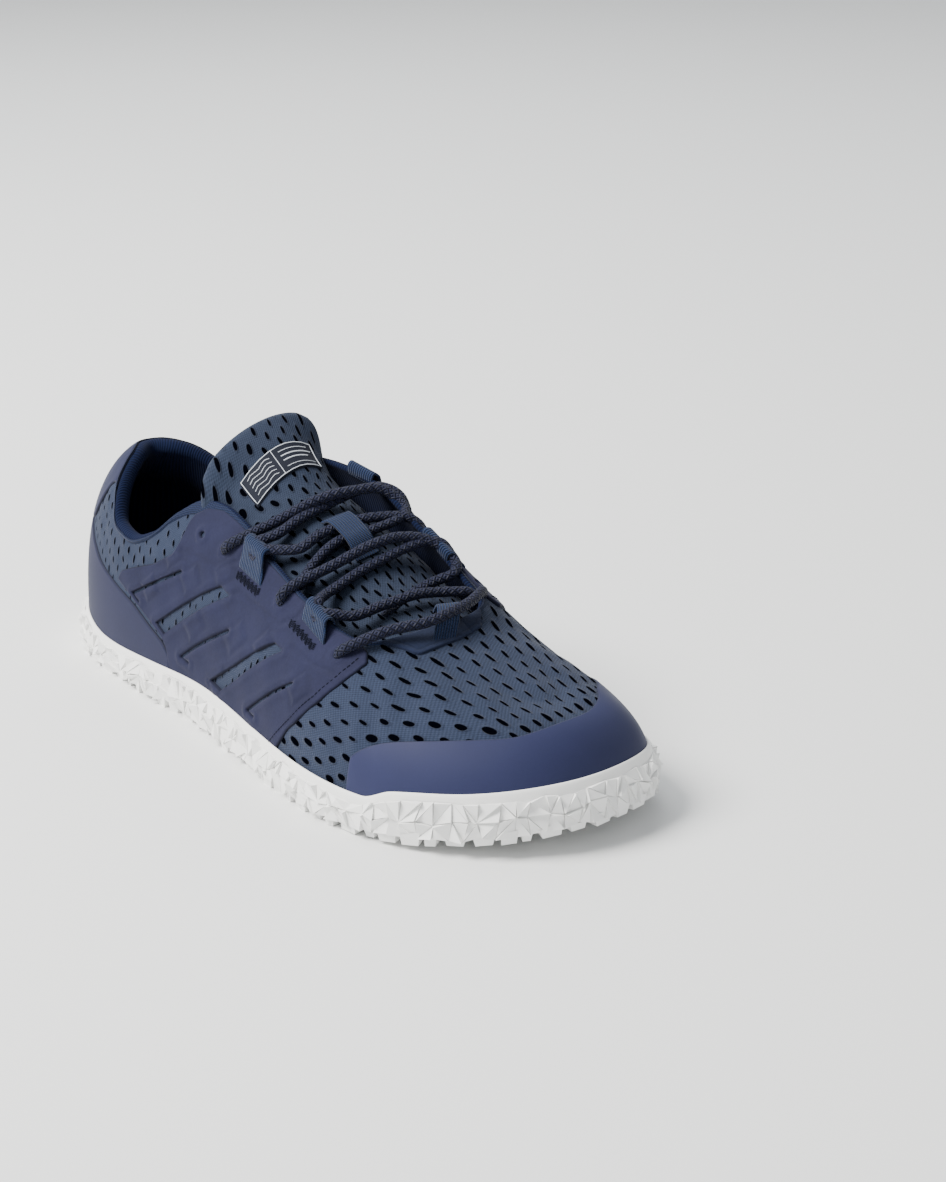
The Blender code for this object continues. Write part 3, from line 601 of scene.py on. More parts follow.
class Mat:
    """a Principled material with helpers"""

    def __init__(self, name, rough=0.8, **shader):
        self.m = bpy.data.materials.new(name)
        self.m.use_nodes = True
        self.t = self.m.node_tree
        self.b = self.t.nodes["Principled BSDF"]
        self.b.inputs["Roughness"].default_value = rough
        for k, x in shader.items():
            self.b.inputs[k.replace("_", " ")].default_value = x

    def uv(self):
        n = self.t.nodes.new("ShaderNodeUVMap")
        n.uv_map = "chart"
        s = self.t.nodes.new("ShaderNodeSeparateXYZ")
        self.t.links.new(n.outputs[0], s.inputs[0])
        return Ex(self.t, s.outputs[0]), Ex(self.t, s.outputs[1])

    def place(self):
        n = self.t.nodes.new("ShaderNodeTexCoord")
        return n.outputs["Object"]

    def attr(self, name):
        n = self.t.nodes.new("ShaderNodeAttribute")
        n.attribute_name = name
        return Ex(self.t, n.outputs["Fac"])

    def vec(self, x, y, z=None):
        n = self.t.nodes.new("ShaderNodeCombineXYZ")
        for k, o in enumerate((x, y, z)):
            if isinstance(o, Ex):
                self.t.links.new(o.s, n.inputs[k])
            elif o is not None:
                n.inputs[k].default_value = o
        return n.outputs[0]

    def noise(self, vector, scale, detail=3.0, rough=0.55):
        n = self.t.nodes.new("ShaderNodeTexNoise")
        n.inputs["Scale"].default_value = scale
        n.inputs["Detail"].default_value = detail
        n.inputs["Roughness"].default_value = rough
        self.t.links.new(vector, n.inputs["Vector"])
        return Ex(self.t, n.outputs["Fac"])

    def random(self, vector):
        n = self.t.nodes.new("ShaderNodeTexWhiteNoise")
        n.noise_dimensions = "3D"
        self.t.links.new(vector, n.inputs["Vector"])
        return Ex(self.t, n.outputs["Value"])

    def voronoi(self, vector, scale):
        n = self.t.nodes.new("ShaderNodeTexVoronoi")
        n.inputs["Scale"].default_value = scale
        self.t.links.new(vector, n.inputs["Vector"])
        return Ex(self.t, n.outputs["Distance"])

    def mix(self, fac, a, b):
        n = self.t.nodes.new("ShaderNodeMix")
        n.data_type = "RGBA"
        self.t.links.new(fac.s, n.inputs[0])
        for k, o in ((6, a), (7, b)):
            if isinstance(o, tuple):
                n.inputs[k].default_value = (*o, 1)
            else:
                self.t.links.new(o, n.inputs[k])
        return n.outputs[2]

    def colour(self, sock):
        self.t.links.new(sock, self.b.inputs["Base Color"])

    def rough(self, ex):
        self.t.links.new(ex.s, self.b.inputs["Roughness"])

    def bump(self, ex, dist, strength=1.0, under=None):
        n = self.t.nodes.new("ShaderNodeBump")
        n.inputs["Distance"].default_value = dist
        n.inputs["Strength"].default_value = strength
        self.t.links.new(ex.s, n.inputs["Height"])
        if under is not None:
            self.t.links.new(under, n.inputs["Normal"])
        self.t.links.new(n.outputs[0], self.b.inputs["Normal"])
        return n.outputs[0]


LAT_X, LAT_Y = 7.0, 14.2                             # lattice of the mesh's holes across and along, mm


def knit(name, light, dark, hole, sheen=0.25):
    """knit mesh: fine slanting stitches, staggered oval holes with a soft rim, sizes rx and ry from the piece"""
    k = Mat(name, 0.85, Sheen_Weight=sheen, Sheen_Roughness=0.5, Specular_IOR_Level=0.25)
    u, w = k.uv()
    rx, ry = k.attr("rx"), k.attr("ry")
    wob = k.noise(k.vec(u * 0.11, w * 0.08), 1.0, 1.0)
    uu = u + (wob - 0.5) * 1.6
    ww = w + (k.noise(k.vec(u * 0.10, w * 0.07, 7.0), 1.0, 1.0) - 0.5) * 2.6
    best = None
    for sx in (0.0, 0.5):
        a, b = uu / LAT_X + sx, ww / LAT_Y + sx
        rnd = k.random(k.vec(a.floor(), b.floor(), sx + 1.0))
        rnd2 = k.random(k.vec(a.floor(), b.floor(), sx + 5.0))
        dx = (a.fract() - 0.5) * LAT_X
        dy = (b.fract() - 0.5) * LAT_Y
        dx = dx + dy * ((rnd2 - 0.5) * 0.12)
        size = rnd * 0.28 + 0.86
        e = ((dx / rx).abs().pow(2.2) + (dy / ry).abs().pow(2.2)).pow(0.4545) / size
        best = e if best is None else best.min(e)
    mask = best.step(1.10, 0.90)
    rim = best.step(1.75, 1.05) * (best.step(0.85, 1.05))
    p = 2 * PI / 0.95
    d1 = ((u + w * 0.62) * p).sin()
    d2 = ((u * 0.55 - w * 0.9) * (p * 0.8)).sin()
    grain = k.noise(k.vec(u, w), 1.3, 3.0, 0.7)
    thread = d1 * 0.26 + d2 * 0.20 + (grain - 0.5) * 0.9 + 0.5
    broad = k.noise(k.vec(u * 0.03, w * 0.03), 1.0, 2.0)
    shade = (thread * 0.72 + broad * 0.40 - 0.06).op("ADD", 0.0, clamp=True)
    body = k.mix(shade, dark, light)
    # a darker band round each hole: painted shade at the hole's edge
    body = k.mix(rim * 0.30, body, dark)
    # the holes' near-black colour is painted shade, standing for the dark inside seen through them
    k.colour(k.mix(mask, body, hole))
    open_ = mask * -1.0 + 1.0
    k.t.links.new((open_ * sheen).s, k.b.inputs["Sheen Weight"])
    k.t.links.new((open_ * 0.2).s, k.b.inputs["Specular IOR Level"])
    k.bump((thread * 0.16) + (rim * 0.35) - (mask * 1.0), 0.0009, 0.9)
    return k.m


def suede(name, light, dark, rough=0.8, grain=0.00012, nap=1.0, sheen=0.35):
    """microsuede: mottled nap, fine grain, and painted shade where a per-vertex attribute marks slots, grooves and
    edges
    """
    k = Mat(name, rough, Sheen_Weight=sheen, Sheen_Roughness=0.45, Specular_IOR_Level=0.16)
    o = k.place()
    a = k.noise(o, 60.0, 4.0, 0.6)
    b = k.noise(o, 900.0, 3.0, 0.65)
    c = k.noise(o, 3200.0, 2.0, 0.5)
    shade = ((a - 0.5) * (1.1 * nap) + (b - 0.5) * 0.75 + 0.5).op("ADD", 0.0, clamp=True)
    g = k.attr("groove_shade").op("MULTIPLY", 0.94, clamp=True)
    # mixed towards near-black as painted shade where that attribute is high
    k.colour(k.mix(g, k.mix(shade, dark, light), (0.002, 0.003, 0.008)))
    k.bump(b * 0.6 + c * 0.4, grain, 0.7)
    return k.m


def film(name, light, dark, rough=0.42, coat=0.15):
    """thin bonded film with a soft satin and a faint grain"""
    k = Mat(name, rough, Coat_Weight=coat, Coat_Roughness=0.4, Specular_IOR_Level=0.2, Sheen_Weight=0.04)
    o = k.place()
    a = k.noise(o, 40.0, 3.0, 0.5)
    b = k.noise(o, 1500.0, 2.0, 0.6)
    # the attribute read here is painted shade along the film's edges; the colour goes towards near-black with it
    g = k.attr("groove_shade").op("MULTIPLY", 0.92, clamp=True)
    shade = ((a - 0.5) * 0.8 + (b - 0.5) * 0.45 + 0.5).op("ADD", 0.0, clamp=True)
    k.colour(k.mix(g, k.mix(shade, dark, light), (0.003, 0.004, 0.010)))
    k.rough(a * 0.12 + b * 0.10 + (rough - 0.10))
    k.bump(b, 0.00005, 0.5)
    return k.m


def ribbed(name, light, dark, pitch, depth=0.00035, rough=0.85, sheen=0.3, across=0.0):
    """ribs a pitch apart, running along the chart's second coordinate; across adds picks the other way"""
    k = Mat(name, rough, Sheen_Weight=sheen, Sheen_Roughness=0.5, Specular_IOR_Level=0.12)
    u, w = k.uv()
    wob = (k.noise(k.vec(u * 0.3, w * 0.3), 1.0, 2.0) - 0.5) * (0.35 * pitch)
    r = ((u + wob) * (2 * PI / pitch)).sin() * 0.5 + 0.5
    f = k.noise(k.vec(u * 2.4, w * 1.1), 1.0, 3.0, 0.6)
    h = r * 0.8 + f * 0.35
    if across:
        h = h + ((w * (2 * PI / across)).sin() * 0.5 + 0.5) * 0.35 - 0.17
    # darker in the rib troughs and lighter on the ribs: painted shade between the ribs, with random tone from the noise
    k.colour(k.mix((h * 0.85).op("ADD", 0.0, clamp=True), dark, light))
    k.bump(h, depth, 0.9)
    return k.m


def braid(name, light, dark):
    """round braided cord: slanted plaits crossing round the cord; chart is (turn 0..1, mm along)"""
    k = Mat(name, 0.64, Sheen_Weight=0.02, Sheen_Roughness=0.4, Specular_IOR_Level=0.22)
    u, w = k.uv()
    a = u * 8.0 + w / 1.55
    b = u * 8.0 - w / 1.55
    ca = (a * PI).sin().abs()
    cb = (b * PI).sin().abs()
    over = (((a + b) * (PI / 2)).sin() * ((a - b) * (PI / 2)).sin()).step(-0.25, 0.25)
    h = ca * over + cb * (over * -1.0 + 1.0)
    n = k.noise(k.vec(u * 60.0, w * 2.2), 1.0, 2.0)
    # painted highlight on the plait crests and painted shade in the gaps between plaits, with random tone from the
    # noise
    k.colour(k.mix((h * 0.8 + n * 0.3 - 0.05).op("ADD", 0.0, clamp=True), dark, light))
    k.bump(h + n * 0.15, 0.0005, 1.0)
    return k.m


def rubber(name, rgb, shade):
    k = Mat(name, 0.5, Specular_IOR_Level=0.45, Subsurface_Weight=0.0)
    o = k.place()
    a = k.noise(o, 120.0, 3.0, 0.6)
    b = k.noise(o, 1400.0, 2.0, 0.6)
    k.colour(k.mix((a - 0.25).op("ADD", 0.0, clamp=True), rgb, shade))
    k.rough(a * 0.18 + b * 0.12 + 0.38)
    k.bump(b * 0.4 + a * 0.6, 0.00012, 0.35)
    return k.m


# the third colour of each knit, near-black, is painted shade for its see-through holes
MESH = knit("m_knit_mesh", (0.026, 0.038, 0.075), (0.008, 0.012, 0.027), (0.0006, 0.0008, 0.002), 0.05)
TONGUE_MESH = knit("m_tongue_mesh", (0.023, 0.034, 0.064), (0.008, 0.012, 0.025), (0.0006, 0.0008, 0.002), 0.04)
SUEDE = suede("m_suede", (0.0150, 0.0165, 0.047), (0.0072, 0.0082, 0.0245), sheen=0.04)
COUNTER = suede("m_counter", (0.0165, 0.0185, 0.050), (0.0100, 0.0115, 0.031), rough=0.66, grain=0.00005, nap=0.6, sheen=0.03)
TAB = suede("m_heel_tab", (0.0165, 0.0195, 0.054), (0.010, 0.012, 0.034), rough=0.60, grain=0.00005, nap=0.6, sheen=0.03)
FILM = film("m_toe_film", (0.0215, 0.0255, 0.076), (0.014, 0.017, 0.052), rough=0.60, coat=0.0)
# the dark colour of these ribbed fabrics is painted shade in their rib troughs
LINING = ribbed("m_collar_lining", (0.006, 0.011, 0.040), (0.0012, 0.0026, 0.011), 1.25, 0.0002, 0.97, 0.015)
BINDING = ribbed("m_binding", (0.010, 0.019, 0.055), (0.003, 0.005, 0.017), 0.8, 0.0002, 0.85, 0.08, across=0.9)
WEB = ribbed("m_webbing", (0.014, 0.029, 0.080), (0.003, 0.006, 0.020), 1.05, 0.0004, 0.75, 0.08, across=0.55)
# the cord's light colour is a painted highlight and its dark colour painted shade
CORD = braid("m_lace", (0.0088, 0.0112, 0.036), (0.0010, 0.0015, 0.006))
RUBBER = rubber("m_white_rubber", (0.88, 0.88, 0.865), (0.83, 0.83, 0.815))
_th = Mat("m_thread", 0.8, Specular_IOR_Level=0.1)
_th.colour(_th.mix(_th.noise(_th.place(), 2500.0, 2.0), (0.002, 0.003, 0.007), (0.007, 0.008, 0.020)))
THREAD = _th.m
LABEL = film("m_label", (0.006, 0.008, 0.018), (0.003, 0.005, 0.011), rough=0.75, coat=0.0)
_pl = Mat("m_label_thread", 0.7)
_pl.colour(_pl.mix(_pl.noise(_pl.place(), 2500.0, 2.0), (0.42, 0.45, 0.50), (0.66, 0.69, 0.74)))
PALE = _pl.m


# ------------------------------------------------------------------ camera, floor and light
AZ, EL, ROLL = np.radians([138.99, 20.71, -0.21])
EYE = np.array([509.595 - CENTRE[0], 670.285 - CENTRE[1], 368.721])
_back = np.array([np.sin(AZ) * np.cos(EL), -np.cos(AZ) * np.cos(EL), np.sin(EL)])
_right = np.cross(-_back, [0, 0, 1.0])
_right /= np.linalg.norm(_right)
_up = np.cross(_right, -_back)
CAM_R = _right * np.cos(ROLL) + _up * np.sin(ROLL)
CAM_U = -_right * np.sin(ROLL) + _up * np.cos(ROLL)
cam = bpy.data.cameras.new("view")
cam.sensor_fit = "AUTO"
cam.sensor_width = 36.0
cam.lens = 2446.18 / 1182 * 36.0
cam.clip_start, cam.clip_end = 0.05, 60
cam_ob = bpy.data.objects.new("view", cam)
bpy.context.scene.collection.objects.link(cam_ob)
rot = Matrix((CAM_R, CAM_U, _back)).transposed()
cam_ob.matrix_world = Matrix.Translation(Vector(EYE * MM)) @ rot.to_4x4()
bpy.context.scene.camera = cam_ob

floor_mat = Mat("m_floor", 0.75, Specular_IOR_Level=0.2)
_n = floor_mat.noise(floor_mat.place(), 0.8, 2.0)
floor_mat.colour(floor_mat.mix(_n, (0.785, 0.79, 0.785), (0.815, 0.818, 0.81)))
bm = bmesh.new()
bmesh.ops.create_grid(bm, x_segments=8, y_segments=8, size=9.0)
me = bpy.data.meshes.new("floor")
bm.to_mesh(me)
bm.free()
me.materials.append(floor_mat.m)
floor = bpy.data.objects.new("floor", me)
bpy.context.scene.collection.objects.link(floor)


def lamp(name, where, aim, size, power, colour=(1, 1, 1)):
    li = bpy.data.lights.new(name, "AREA")
    li.shape, li.size, li.energy, li.color = "DISK", size, power, colour
    ob = bpy.data.objects.new(name, li)
    bpy.context.scene.collection.objects.link(ob)
    ob.location = where
    ob.rotation_euler = (Vector(aim) - Vector(where)).to_track_quat("-Z", "Y").to_euler()
    return ob


LEFT = -CAM_R                                        # camera's left, in the world
lamp("key", Vector(LEFT * 1.15 + _back * 0.25 + np.array([0, 0, 1.35])), (0, 0, 0.04), 1.0, 88.0, (1.0, 0.985, 0.96))
lamp("back", Vector(-_back * 1.3 * np.array([1, 1, 0]) + LEFT * 0.3 + np.array([0, 0, 1.5])), (0, 0, 0.05), 1.6, 18.0, (0.95, 0.98, 1.0))
world = bpy.data.worlds.new("studio")
bpy.context.scene.world = world
world.use_nodes = True
world.node_tree.nodes["Background"].inputs["Color"].default_value = (0.93, 0.965, 1.0, 1)
world.node_tree.nodes["Background"].inputs["Strength"].default_value = 0.64


# ------------------------------------------------------------------ mesh upper
def hole_sizes(phi, v, rear):
    """half sizes of the mesh's holes in lattice units"""
    f = station(phi)
    if rear:
        grow = 1.0 - 0.25 * smooth(f, 0.0, 0.05) + 0.20 * np.sin(f * 21.0) * np.sin(v * 17.0)
        return 0.52 * grow, 3.05 * grow
    top = np.where(np.sin(phi) >= 0, curve(TOE_TOP_LATERAL, 1)(f), curve(TOE_TOP_MEDIAL, 1)(f))
    top = np.where(f < 0.775, -0.1, top)
    near_toe = np.exp(-(((v - top) * 62 - 3.0) / 5.5) ** 2) * smooth(f, 0.76, 0.80)
    w, u = chart(phi, v)
    near_throat = np.exp(-((u - 78.0) / 15.0) ** 2) * smooth(v, 0.35, 0.7)
    near_sole = (1 - smooth(v, 0.10, 0.30)) * (1 - smooth(f, 0.78, 0.84))
    medial = np.where(np.sin(phi) < 0, 0.25, 0.0)
    rx = 0.60 + 0.62 * near_toe + 0.24 * near_throat + 0.50 * near_sole + 0.10 * medial
    ry = 1.95 + 0.20 * near_toe + 0.70 * near_throat + 0.35 * near_sole + 0.6 * medial
    return rx, ry


N_PHI, N_V = ((520, 96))
phi = np.linspace(-PI, PI, N_PHI, endpoint=False)
F_SWITCH = 0.60
row = np.linspace(0, 1, N_V)
PH = np.repeat(phi[:, None], N_V, 1)
V = row[None] * opening(phi)[:, None]
P = last(PH, V)
N = normal(PH, V)
sag = creases(PH, V, P)
lump = 0.16 * np.sin(P[..., 0] * 0.31 + 2.0) * np.sin(P[..., 1] * 0.23) + 0.10 * np.sin(P[..., 1] * 0.52 + P[..., 2] * 0.4)
P = P + N * (sag + lump * smooth(V, 0.1, 0.3))[..., None]
ridge = (V > 0.9999)
P[ridge] = last(PH[ridge], V[ridge])
W, U = chart(PH, V)
rear_v = station(PH) < F_SWITCH
rx_r, ry_r = hole_sizes(PH, V, True)
rx_f, ry_f = hole_sizes(PH, V, False)
RX, RY = np.where(rear_v, rx_r, rx_f), np.where(rear_v, ry_r, ry_f)
rear_f = np.repeat((station(phi + PI / N_PHI) < F_SWITCH)[:, None], N_V - 1, 1)
phi1 = np.append(phi, PI)
W1, U1 = chart(np.repeat(phi1[:, None], N_V, 1), row[None] * opening(phi1)[:, None])
front_uv = np.stack([W1 + 0.28 * np.clip(W1 / 26.0, -1, 1) * (U1 - 84.0), U1], -1)       # holes lean inwards
rear_uv = np.stack([U1 * (LAT_X / 8.5), W1 * (LAT_Y / 7.5)], -1)
i, j = np.meshgrid(np.arange(N_PHI), np.arange(N_V - 1), indexing="ij")


def corners(T):
    return np.stack([T[i, j], T[i + 1, j], T[i + 1, j + 1], T[i, j + 1]], -2)


luv = np.where(rear_f[..., None, None], corners(rear_uv), corners(front_uv)).reshape(-1, 4, 2)
upper = build("upper_mesh", P.reshape(-1, 3), quads(N_PHI, N_V, ring=True), luv,
              {"rx": RX.ravel(), "ry": RY.ravel()}, [MESH])
bm = bmesh.new()
bm.from_mesh(upper.data)
bmesh.ops.remove_doubles(bm, verts=bm.verts, dist=2e-5)
bmesh.ops.dissolve_degenerate(bm, edges=bm.edges, dist=1e-6)
bm.to_mesh(upper.data)
bm.free()
put(upper, ["upper"])

# ------------------------------------------------------------------ collar: padded roll and lining, down the inside
N_C = 420
fe = 0.772
phc = np.concatenate([-np.linspace(0, angle(fe), N_C // 2)[::-1], np.linspace(0, angle(fe), N_C // 2)[1:]])
fc = station(phc)
vo = opening(phc)
rim = last(phc, vo)
rn = normal(phc, vo)
rt = last(phc, vo) - last(phc, vo - 0.01)
rt /= np.linalg.norm(rt, axis=-1, keepdims=True)
rt -= rn * (rt * rn).sum(-1, keepdims=True)
rt /= np.linalg.norm(rt, axis=-1, keepdims=True)
pad = 2.0 + 3.6 * (1 - smooth(fc, 0.20, 0.33)) + 0.8 * (1 - smooth(fc, 0.0, 0.08))      # thickness at the rim
rows = []
OUT = 0.25
for a in np.linspace(-0.25, PI, 13):                 # the roll
    r = (pad + OUT) / 2
    c = rim + rn * ((OUT - pad) / 2)[:, None] - rt * 0.25
    rows.append(c + (rn * np.cos(a) + rt * np.sin(a) * np.where(a > 0, 0.9, 1.0)) * r[:, None])
rows = rows
for k, t in enumerate(np.linspace(0.03, 1, 24)):     # the inside, swelling below the rim then thin
    v = vo * (1 - t) + 0.03 * t
    depth = np.linalg.norm(last(phc, v) - rim, axis=-1)
    th = pad + 1.4 * np.sin(np.clip(depth / 26.0, 0, 1) * PI) * (1 - smooth(fc, 0.2, 0.33))
    th = 2.2 + (th - 2.2) * (1 - smooth(depth, 16.0, 34.0))
    rows.append(off(phc, v, -th))
C = np.stack(rows, 1)
wk = (1 - smooth(np.abs(phc), 0.35, 0.80))[:, None, None]
for _ in range(360):                 # round it at the back seam
    C[1:-1] += wk[1:-1] * 0.5 * ((C[:-2] + C[2:]) / 2 - C[1:-1])
su = np.concatenate([[0], np.cumsum(np.linalg.norm(np.diff(rim, axis=0), axis=-1))])
sv = np.concatenate([np.zeros((len(phc), 1)), np.cumsum(np.linalg.norm(np.diff(C, axis=1), axis=-1), 1)], 1)
collar = grid("collar_lining", C, np.stack([np.repeat(su[:, None], C.shape[1], 1), sv], -1), None, [LINING], flip=False)
put(collar)

# binding along the collar and throat edge, wider beside the throat's upper end
bw = 1.6 + 6.0 * np.exp(-((fc - 0.365) / 0.055) ** 2)
cols = []
vb = np.linspace(0, 1, 9)
dv = 0.01 / np.maximum(np.linalg.norm(last(phc, vo) - last(phc, vo - 0.01), axis=-1), 1e-3)
for t in vb:
    v = vo - dv * bw * (1 - t)
    h = 0.55 * np.sin(np.clip(t * 1.6, 0, 1) * PI / 2) + 0.05
    if t == 0:
        h = -0.3
    cols.append(off(phc, v, np.full(v.shape, h)))
B = np.stack(cols, 1)
bv = np.repeat((vb * 4)[None], len(phc), 0) * (bw / 4)[:, None]
binding = grid("collar_binding", B, np.stack([bv, np.repeat(su[:, None], len(vb), 1)], -1), None, [BINDING])
put(binding)


# ------------------------------------------------------------------ overlays laid on the last
def overlay(name, phs, v0, v1, m, mat, rise, edge=0.9, dents=(), side=None, nodes=(), hem=True,
            soft=1.1, uvmap=False):
    """sheet between two edges, rounded at its edges; dents(P, F, V) -> (height change mm, painted shade 0..1)"""
    t = np.linspace(0, 1, m)
    t = t - 0.16 * np.sin(2 * PI * t) / (2 * PI) * 2     # closer rows at the edges
    Ph = np.repeat(phs[:, None], m, 1)
    Vv = v0[:, None] * (1 - t) + v1[:, None] * t
    P0 = last(Ph, Vv)
    rimline = np.vstack([P0[:, 0], P0[-1, 1:], P0[::-1, -1][1:], P0[0, ::-1][1:-1]])
    step = max(1, len(rimline) // 500)
    d, _ = to_line(P0, rimline[::step], closed=True)
    h = rise * np.sqrt(np.clip(1 - (1 - np.clip(d / soft, 0, 1)) ** 2, 0, 1))
    # painted shade along the sheet's edge, where it meets the mesh
    groove_shade = 0.75 * np.exp(-(d / 0.45) ** 2)
    ee = np.exp(-((d - 2.2) / 0.35) ** 2)               # pressed line just inside the edge, darkened with painted shade
    if hem:
        h = h - 0.14 * ee
        groove_shade = np.maximum(groove_shade, 0.25 * ee)
    for fn in dents:
        dh, g = fn(P0, station(Ph), Vv)
        h = h + dh * np.clip(d / 1.2, 0, 1)
        groove_shade = np.maximum(groove_shade, g)
    Q = P0 + normal(Ph, Vv) * (h + creases(Ph, Vv, P0))[..., None]
    # skirt: one more ring round the sheet, under the mesh
    n = len(phs)
    big = np.zeros((n + 2, m + 2, 3))
    low = P0 - normal(Ph, Vv) * 0.5
    big[1:-1, 1:-1] = Q
    big[0, 1:-1], big[-1, 1:-1] = low[0], low[-1]
    big[1:-1, 0], big[1:-1, -1] = low[:, 0], low[:, -1]
    big[0, 0], big[0, -1], big[-1, 0], big[-1, -1] = low[0, 0], low[0, -1], low[-1, 0], low[-1, -1]
    G = np.pad(groove_shade, 1, mode="edge")
    # the skirt tucked under the edge is painted nearly full shade
    G[0], G[-1], G[:, 0], G[:, -1] = 0.9, 0.9, 0.9, 0.9
    W, U = chart(np.pad(Ph, 1, mode="edge"), np.pad(Vv, 1, mode="edge"))
    ob = grid(name, big, np.stack([W, U], -1), {"groove_shade": np.clip(G, 0, 1)}, [mat])
    put(ob, nodes)
    return ob


# heel counter and heel tab
ph = np.linspace(-angle(0.328), angle(0.328), 330)
fs = station(ph)
lo = v_at_height(ph, lip_z(fs) - 2.0)
hi = np.maximum(curve(COUNTER_TOP, 1)(fs), lo + 0.012)


def heel_marks(P, F, V):
    """soft vertical crease at the back seam, a shallow dip darkened with painted shade"""
    # g is painted shade in the crease
    g = 0.22 * np.exp(-(np.abs(P[..., 0] + 1.0) / 0.5) ** 2) * (P[..., 1] < -120)
    return -0.25 * np.exp(-(np.abs(P[..., 0] + 1.0) / 0.8) ** 2) * (P[..., 1] < -120), g


overlay("heel_counter_skin", ph, lo, hi, 64, COUNTER, 0.75, dents=(heel_marks,), hem=False,
        nodes=["heel_counter"])
ph = np.linspace(-angle(0.112), angle(0.112), 160)
fs = station(ph)
hi = opening(ph) - 0.002
lo = 0.292 + (hi - 0.012 - 0.292) * smooth(fs, 0.044, 0.112) ** 1.3
overlay("heel_tab", ph, lo, hi, 60, TAB, 0.85, hem=False)

# toe cap
ph = np.concatenate([np.linspace(angle(0.772), PI, 170)[:-1], PI + (PI - np.linspace(angle(0.786), PI, 170)[::-1])])
fs = station(ph)
hi = np.where(ph < PI, curve(TOE_TOP_LATERAL, 1)(fs), curve(TOE_TOP_MEDIAL, 1)(fs))
lo = np.minimum(v_at_height(ph, lip_z(fs) - 2.0), hi - 0.01)
overlay("toe_cap_film", ph, lo, hi, 80, FILM, 0.6, nodes=["toe_cap"], soft=0.6,
        hem=False)


# side cages
def cage_bounds():
    e = np.array(CAGE_EDGE)
    low = e[:15]
    up = e[14:][::-1]
    up = np.vstack([e[0], up])
    f = np.unique(np.concatenate([np.linspace(0.186, 0.7355, 700)]))
    ul = []
    last_f = -1
    for q in up:
        ul.append((max(q[0], last_f + 0.0015), q[1]))
        last_f = ul[-1][0]
    ul = np.array(ul)
    scale = 0.7355 / ul[-1, 0] if ul[-1, 0] > 0.7355 else 1.0
    ul[:, 0] *= scale
    lo, hi = np.interp(f, low[:, 0], low[:, 1]), np.interp(f, ul[:, 0], ul[:, 1])
    k = np.ones(9) / 9
    los, his = np.convolve(np.pad(lo, 4, mode="edge"), k, "valid"), np.convolve(np.pad(hi, 4, mode="edge"), k, "valid")
    his = np.maximum(his, los + 0.0005)
    run = np.cumsum(np.hypot(np.hypot(np.diff(los) * 62, np.diff(his) * 62), np.diff(f) * 290))
    run = np.concatenate([[0], run])
    n = 330
    ff = np.interp(np.linspace(0, run[-1], n), run, f)
    return ff, np.interp(ff, f, los), np.interp(ff, f, his)


def even(side, f, v):
    """like vm but without its bend, so that slots stay straight"""
    if side > 0:
        return v
    lift = np.clip(open_m(f) - open_l(f), 0, 1) * np.clip((f - 0.30) / 0.10, 0, 1)
    return v + lift * np.clip(np.asarray(v, float) / 0.5, 0, 1) * 0.9


def line_on(pts, side, n):
    """straight run in plan terms between two marks"""
    (f0, v0), (f1, v1) = pts
    k = np.linspace(0, 1, n + 1)
    f = f0 + (f1 - f0) * k
    v = even(side, f0, v0) * (1 - k) + even(side, f1, v1) * k
    return last(side * angle(f), v)


def mirrored(line):
    """the marks (f, v) and points of the medial wall that lie opposite a line of the lateral one"""
    fm, v_ = np.meshgrid(np.linspace(0.16, 0.76, 480), np.linspace(0.02, 0.85, 420), indexing="ij")
    P = last(-angle(fm.ravel()), v_.ravel())
    tall = [20 + (p[2] - 20) * 1.35 for p in line]       # that wall is the taller one
    near = [int(np.argmin((P[:, 1] - p[1]) ** 2 + (P[:, 2] - h) ** 2)) for p, h in zip(line, tall)]
    return [(float(fm.ravel()[k]), float(v_.ravel()[k])) for k in near], P[near]


def slot_lines(side):
    out = []
    for a, b, win, hook in SLOTS:
        if side < 0:
            fv, line = mirrored(line_on([a, b], 1, 10))
            w, poly = None, None
            if win:
                fw, w = mirrored(line_on([win[0], win[1]], 1, 10))
                poly = fv + fw[::-1]
            hk = mirrored(line_on([a, hook or win[0]], 1, 4))[1]
            out.append((line, w, hk, poly))
            continue
        line = line_on([a, b], side, 10)
        w = line_on([win[0], win[1]], side, 10) if win else None
        hk = line_on([a, hook], side, 4) if hook else (line_on([a, win[0]], side, 4) if win else None)
        out.append((line, w, hk, [a, b, win[1], win[0]] if win else None))
    return out


